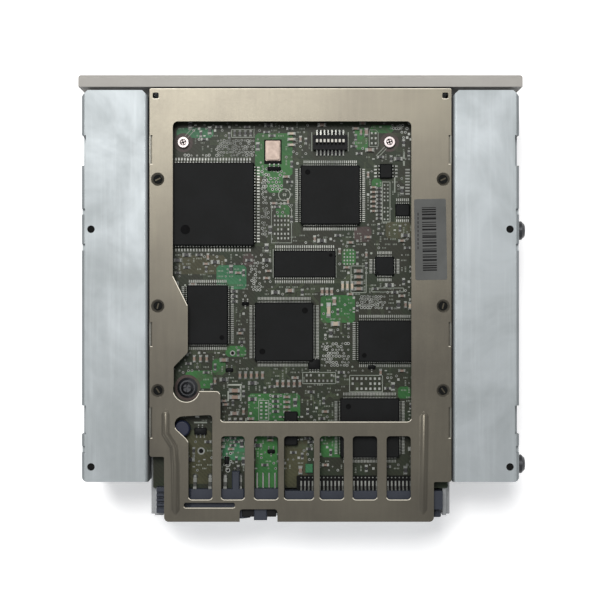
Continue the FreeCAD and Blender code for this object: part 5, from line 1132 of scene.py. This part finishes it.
# ---- floor, light and camera
FLOOR_HALF, FLOOR_DROP = 3.0, 0.2
FLOOR_COLOUR, FLOOR_GLOW = (0.86, 0.86, 0.87, 1), 0.4
SKY_LIGHT, SKY_SEEN = ((0.93, 0.96, 1.0, 1), 0.3), ((1, 1, 1, 1), 1.0)
CAMERA_HEIGHT, DRIVE_HEIGHT, DRIVE_MIDDLE_Y = 500.0, 41.3, 72.67
LENS, SENSOR_WIDTH, SHIFT_X, SHIFT_Y = 90.0, 36.0, -0.0008, 0.01
NEAREST, FARTHEST = 0.05, 20
floor_mesh = bpy.data.meshes.new("floor")
floor_mesh.from_pydata([(x * FLOOR_HALF, y * FLOOR_HALF, 0)
                        for x, y in ((-1, -1), (1, -1), (1, 1), (-1, 1))], [], [(0, 1, 2, 3)])
floor = placed("floor", floor_mesh)
floor.location.z = cad_box[0].z - FLOOR_DROP * MM


def seen_rays(tree):
    """1 for rays from the camera and for rays that a gloss or a glass sends on."""
    path = tree.nodes.new("ShaderNodeLightPath")
    total = path.outputs["Is Camera Ray"]
    for name in ("Is Glossy Ray", "Is Transmission Ray"):
        step = tree.nodes.new("ShaderNodeMath")
        step.operation = "MAXIMUM"
        tree.links.new(total, step.inputs[0])
        tree.links.new(path.outputs[name], step.inputs[1])
        total = step.outputs[0]
    return total


paint = Finish("floor_paint", "ffffff", roughness=0.9, Emission_Color=(1, 1, 1, 1))
paint.colour(FLOOR_COLOUR)
glow = paint.node("Math", {"operation": "MULTIPLY"})
paint.feed(glow.inputs[0], seen_rays(paint.tree))
paint.feed(glow.inputs[1], FLOOR_GLOW)
paint.feed(paint.shader.inputs["Emission Strength"], glow.outputs[0])
floor_mesh.materials.append(paint.material)
world = bpy.data.worlds.new("studio")
bpy.context.scene.world = world
world.use_nodes = True
sky = world.node_tree
lit, seen = sky.nodes["Background"], sky.nodes.new("ShaderNodeBackground")
for shine, (colour, strength) in ((lit, SKY_LIGHT), (seen, SKY_SEEN)):
    shine.inputs["Color"].default_value = colour
    shine.inputs["Strength"].default_value = strength
either = sky.nodes.new("ShaderNodeMixShader")
sky.links.new(seen_rays(sky), either.inputs[0])
sky.links.new(lit.outputs[0], either.inputs[1])
sky.links.new(seen.outputs[0], either.inputs[2])
sky.links.new(either.outputs[0], sky.nodes["World Output"].inputs["Surface"])


def lamp(name, place, size, power, colour):
    """A square lamp that shines at the origin."""
    light = bpy.data.lights.new(name, "AREA")
    light.shape = "SQUARE"
    light.size, light.energy, light.color = size, power, colour
    thing = placed(name, light)
    thing.location = place
    thing.rotation_euler = (-Vector(place)).to_track_quat("-Z", "Y").to_euler()


lamp("key", (0.12, -0.38, 1.05), size=0.42, power=14.0, colour=(1.0, 0.985, 0.96))
lamp("fill", (0.5, 0.5, 1.1), size=0.9, power=1.0, colour=(0.94, 0.97, 1.0))

lens = bpy.data.cameras.new("camera")
lens.lens, lens.sensor_width = LENS, SENSOR_WIDTH
lens.shift_x, lens.shift_y = SHIFT_X, SHIFT_Y
lens.clip_start, lens.clip_end = NEAREST, FARTHEST
camera = placed("camera", lens)
camera.location = spot(0, DRIVE_MIDDLE_Y, DRIVE_HEIGHT + CAMERA_HEIGHT)
camera.rotation_euler = (0, 0, math.pi)
bpy.context.scene.camera = camera
bpy.context.scene.view_settings.view_transform = "Standard"
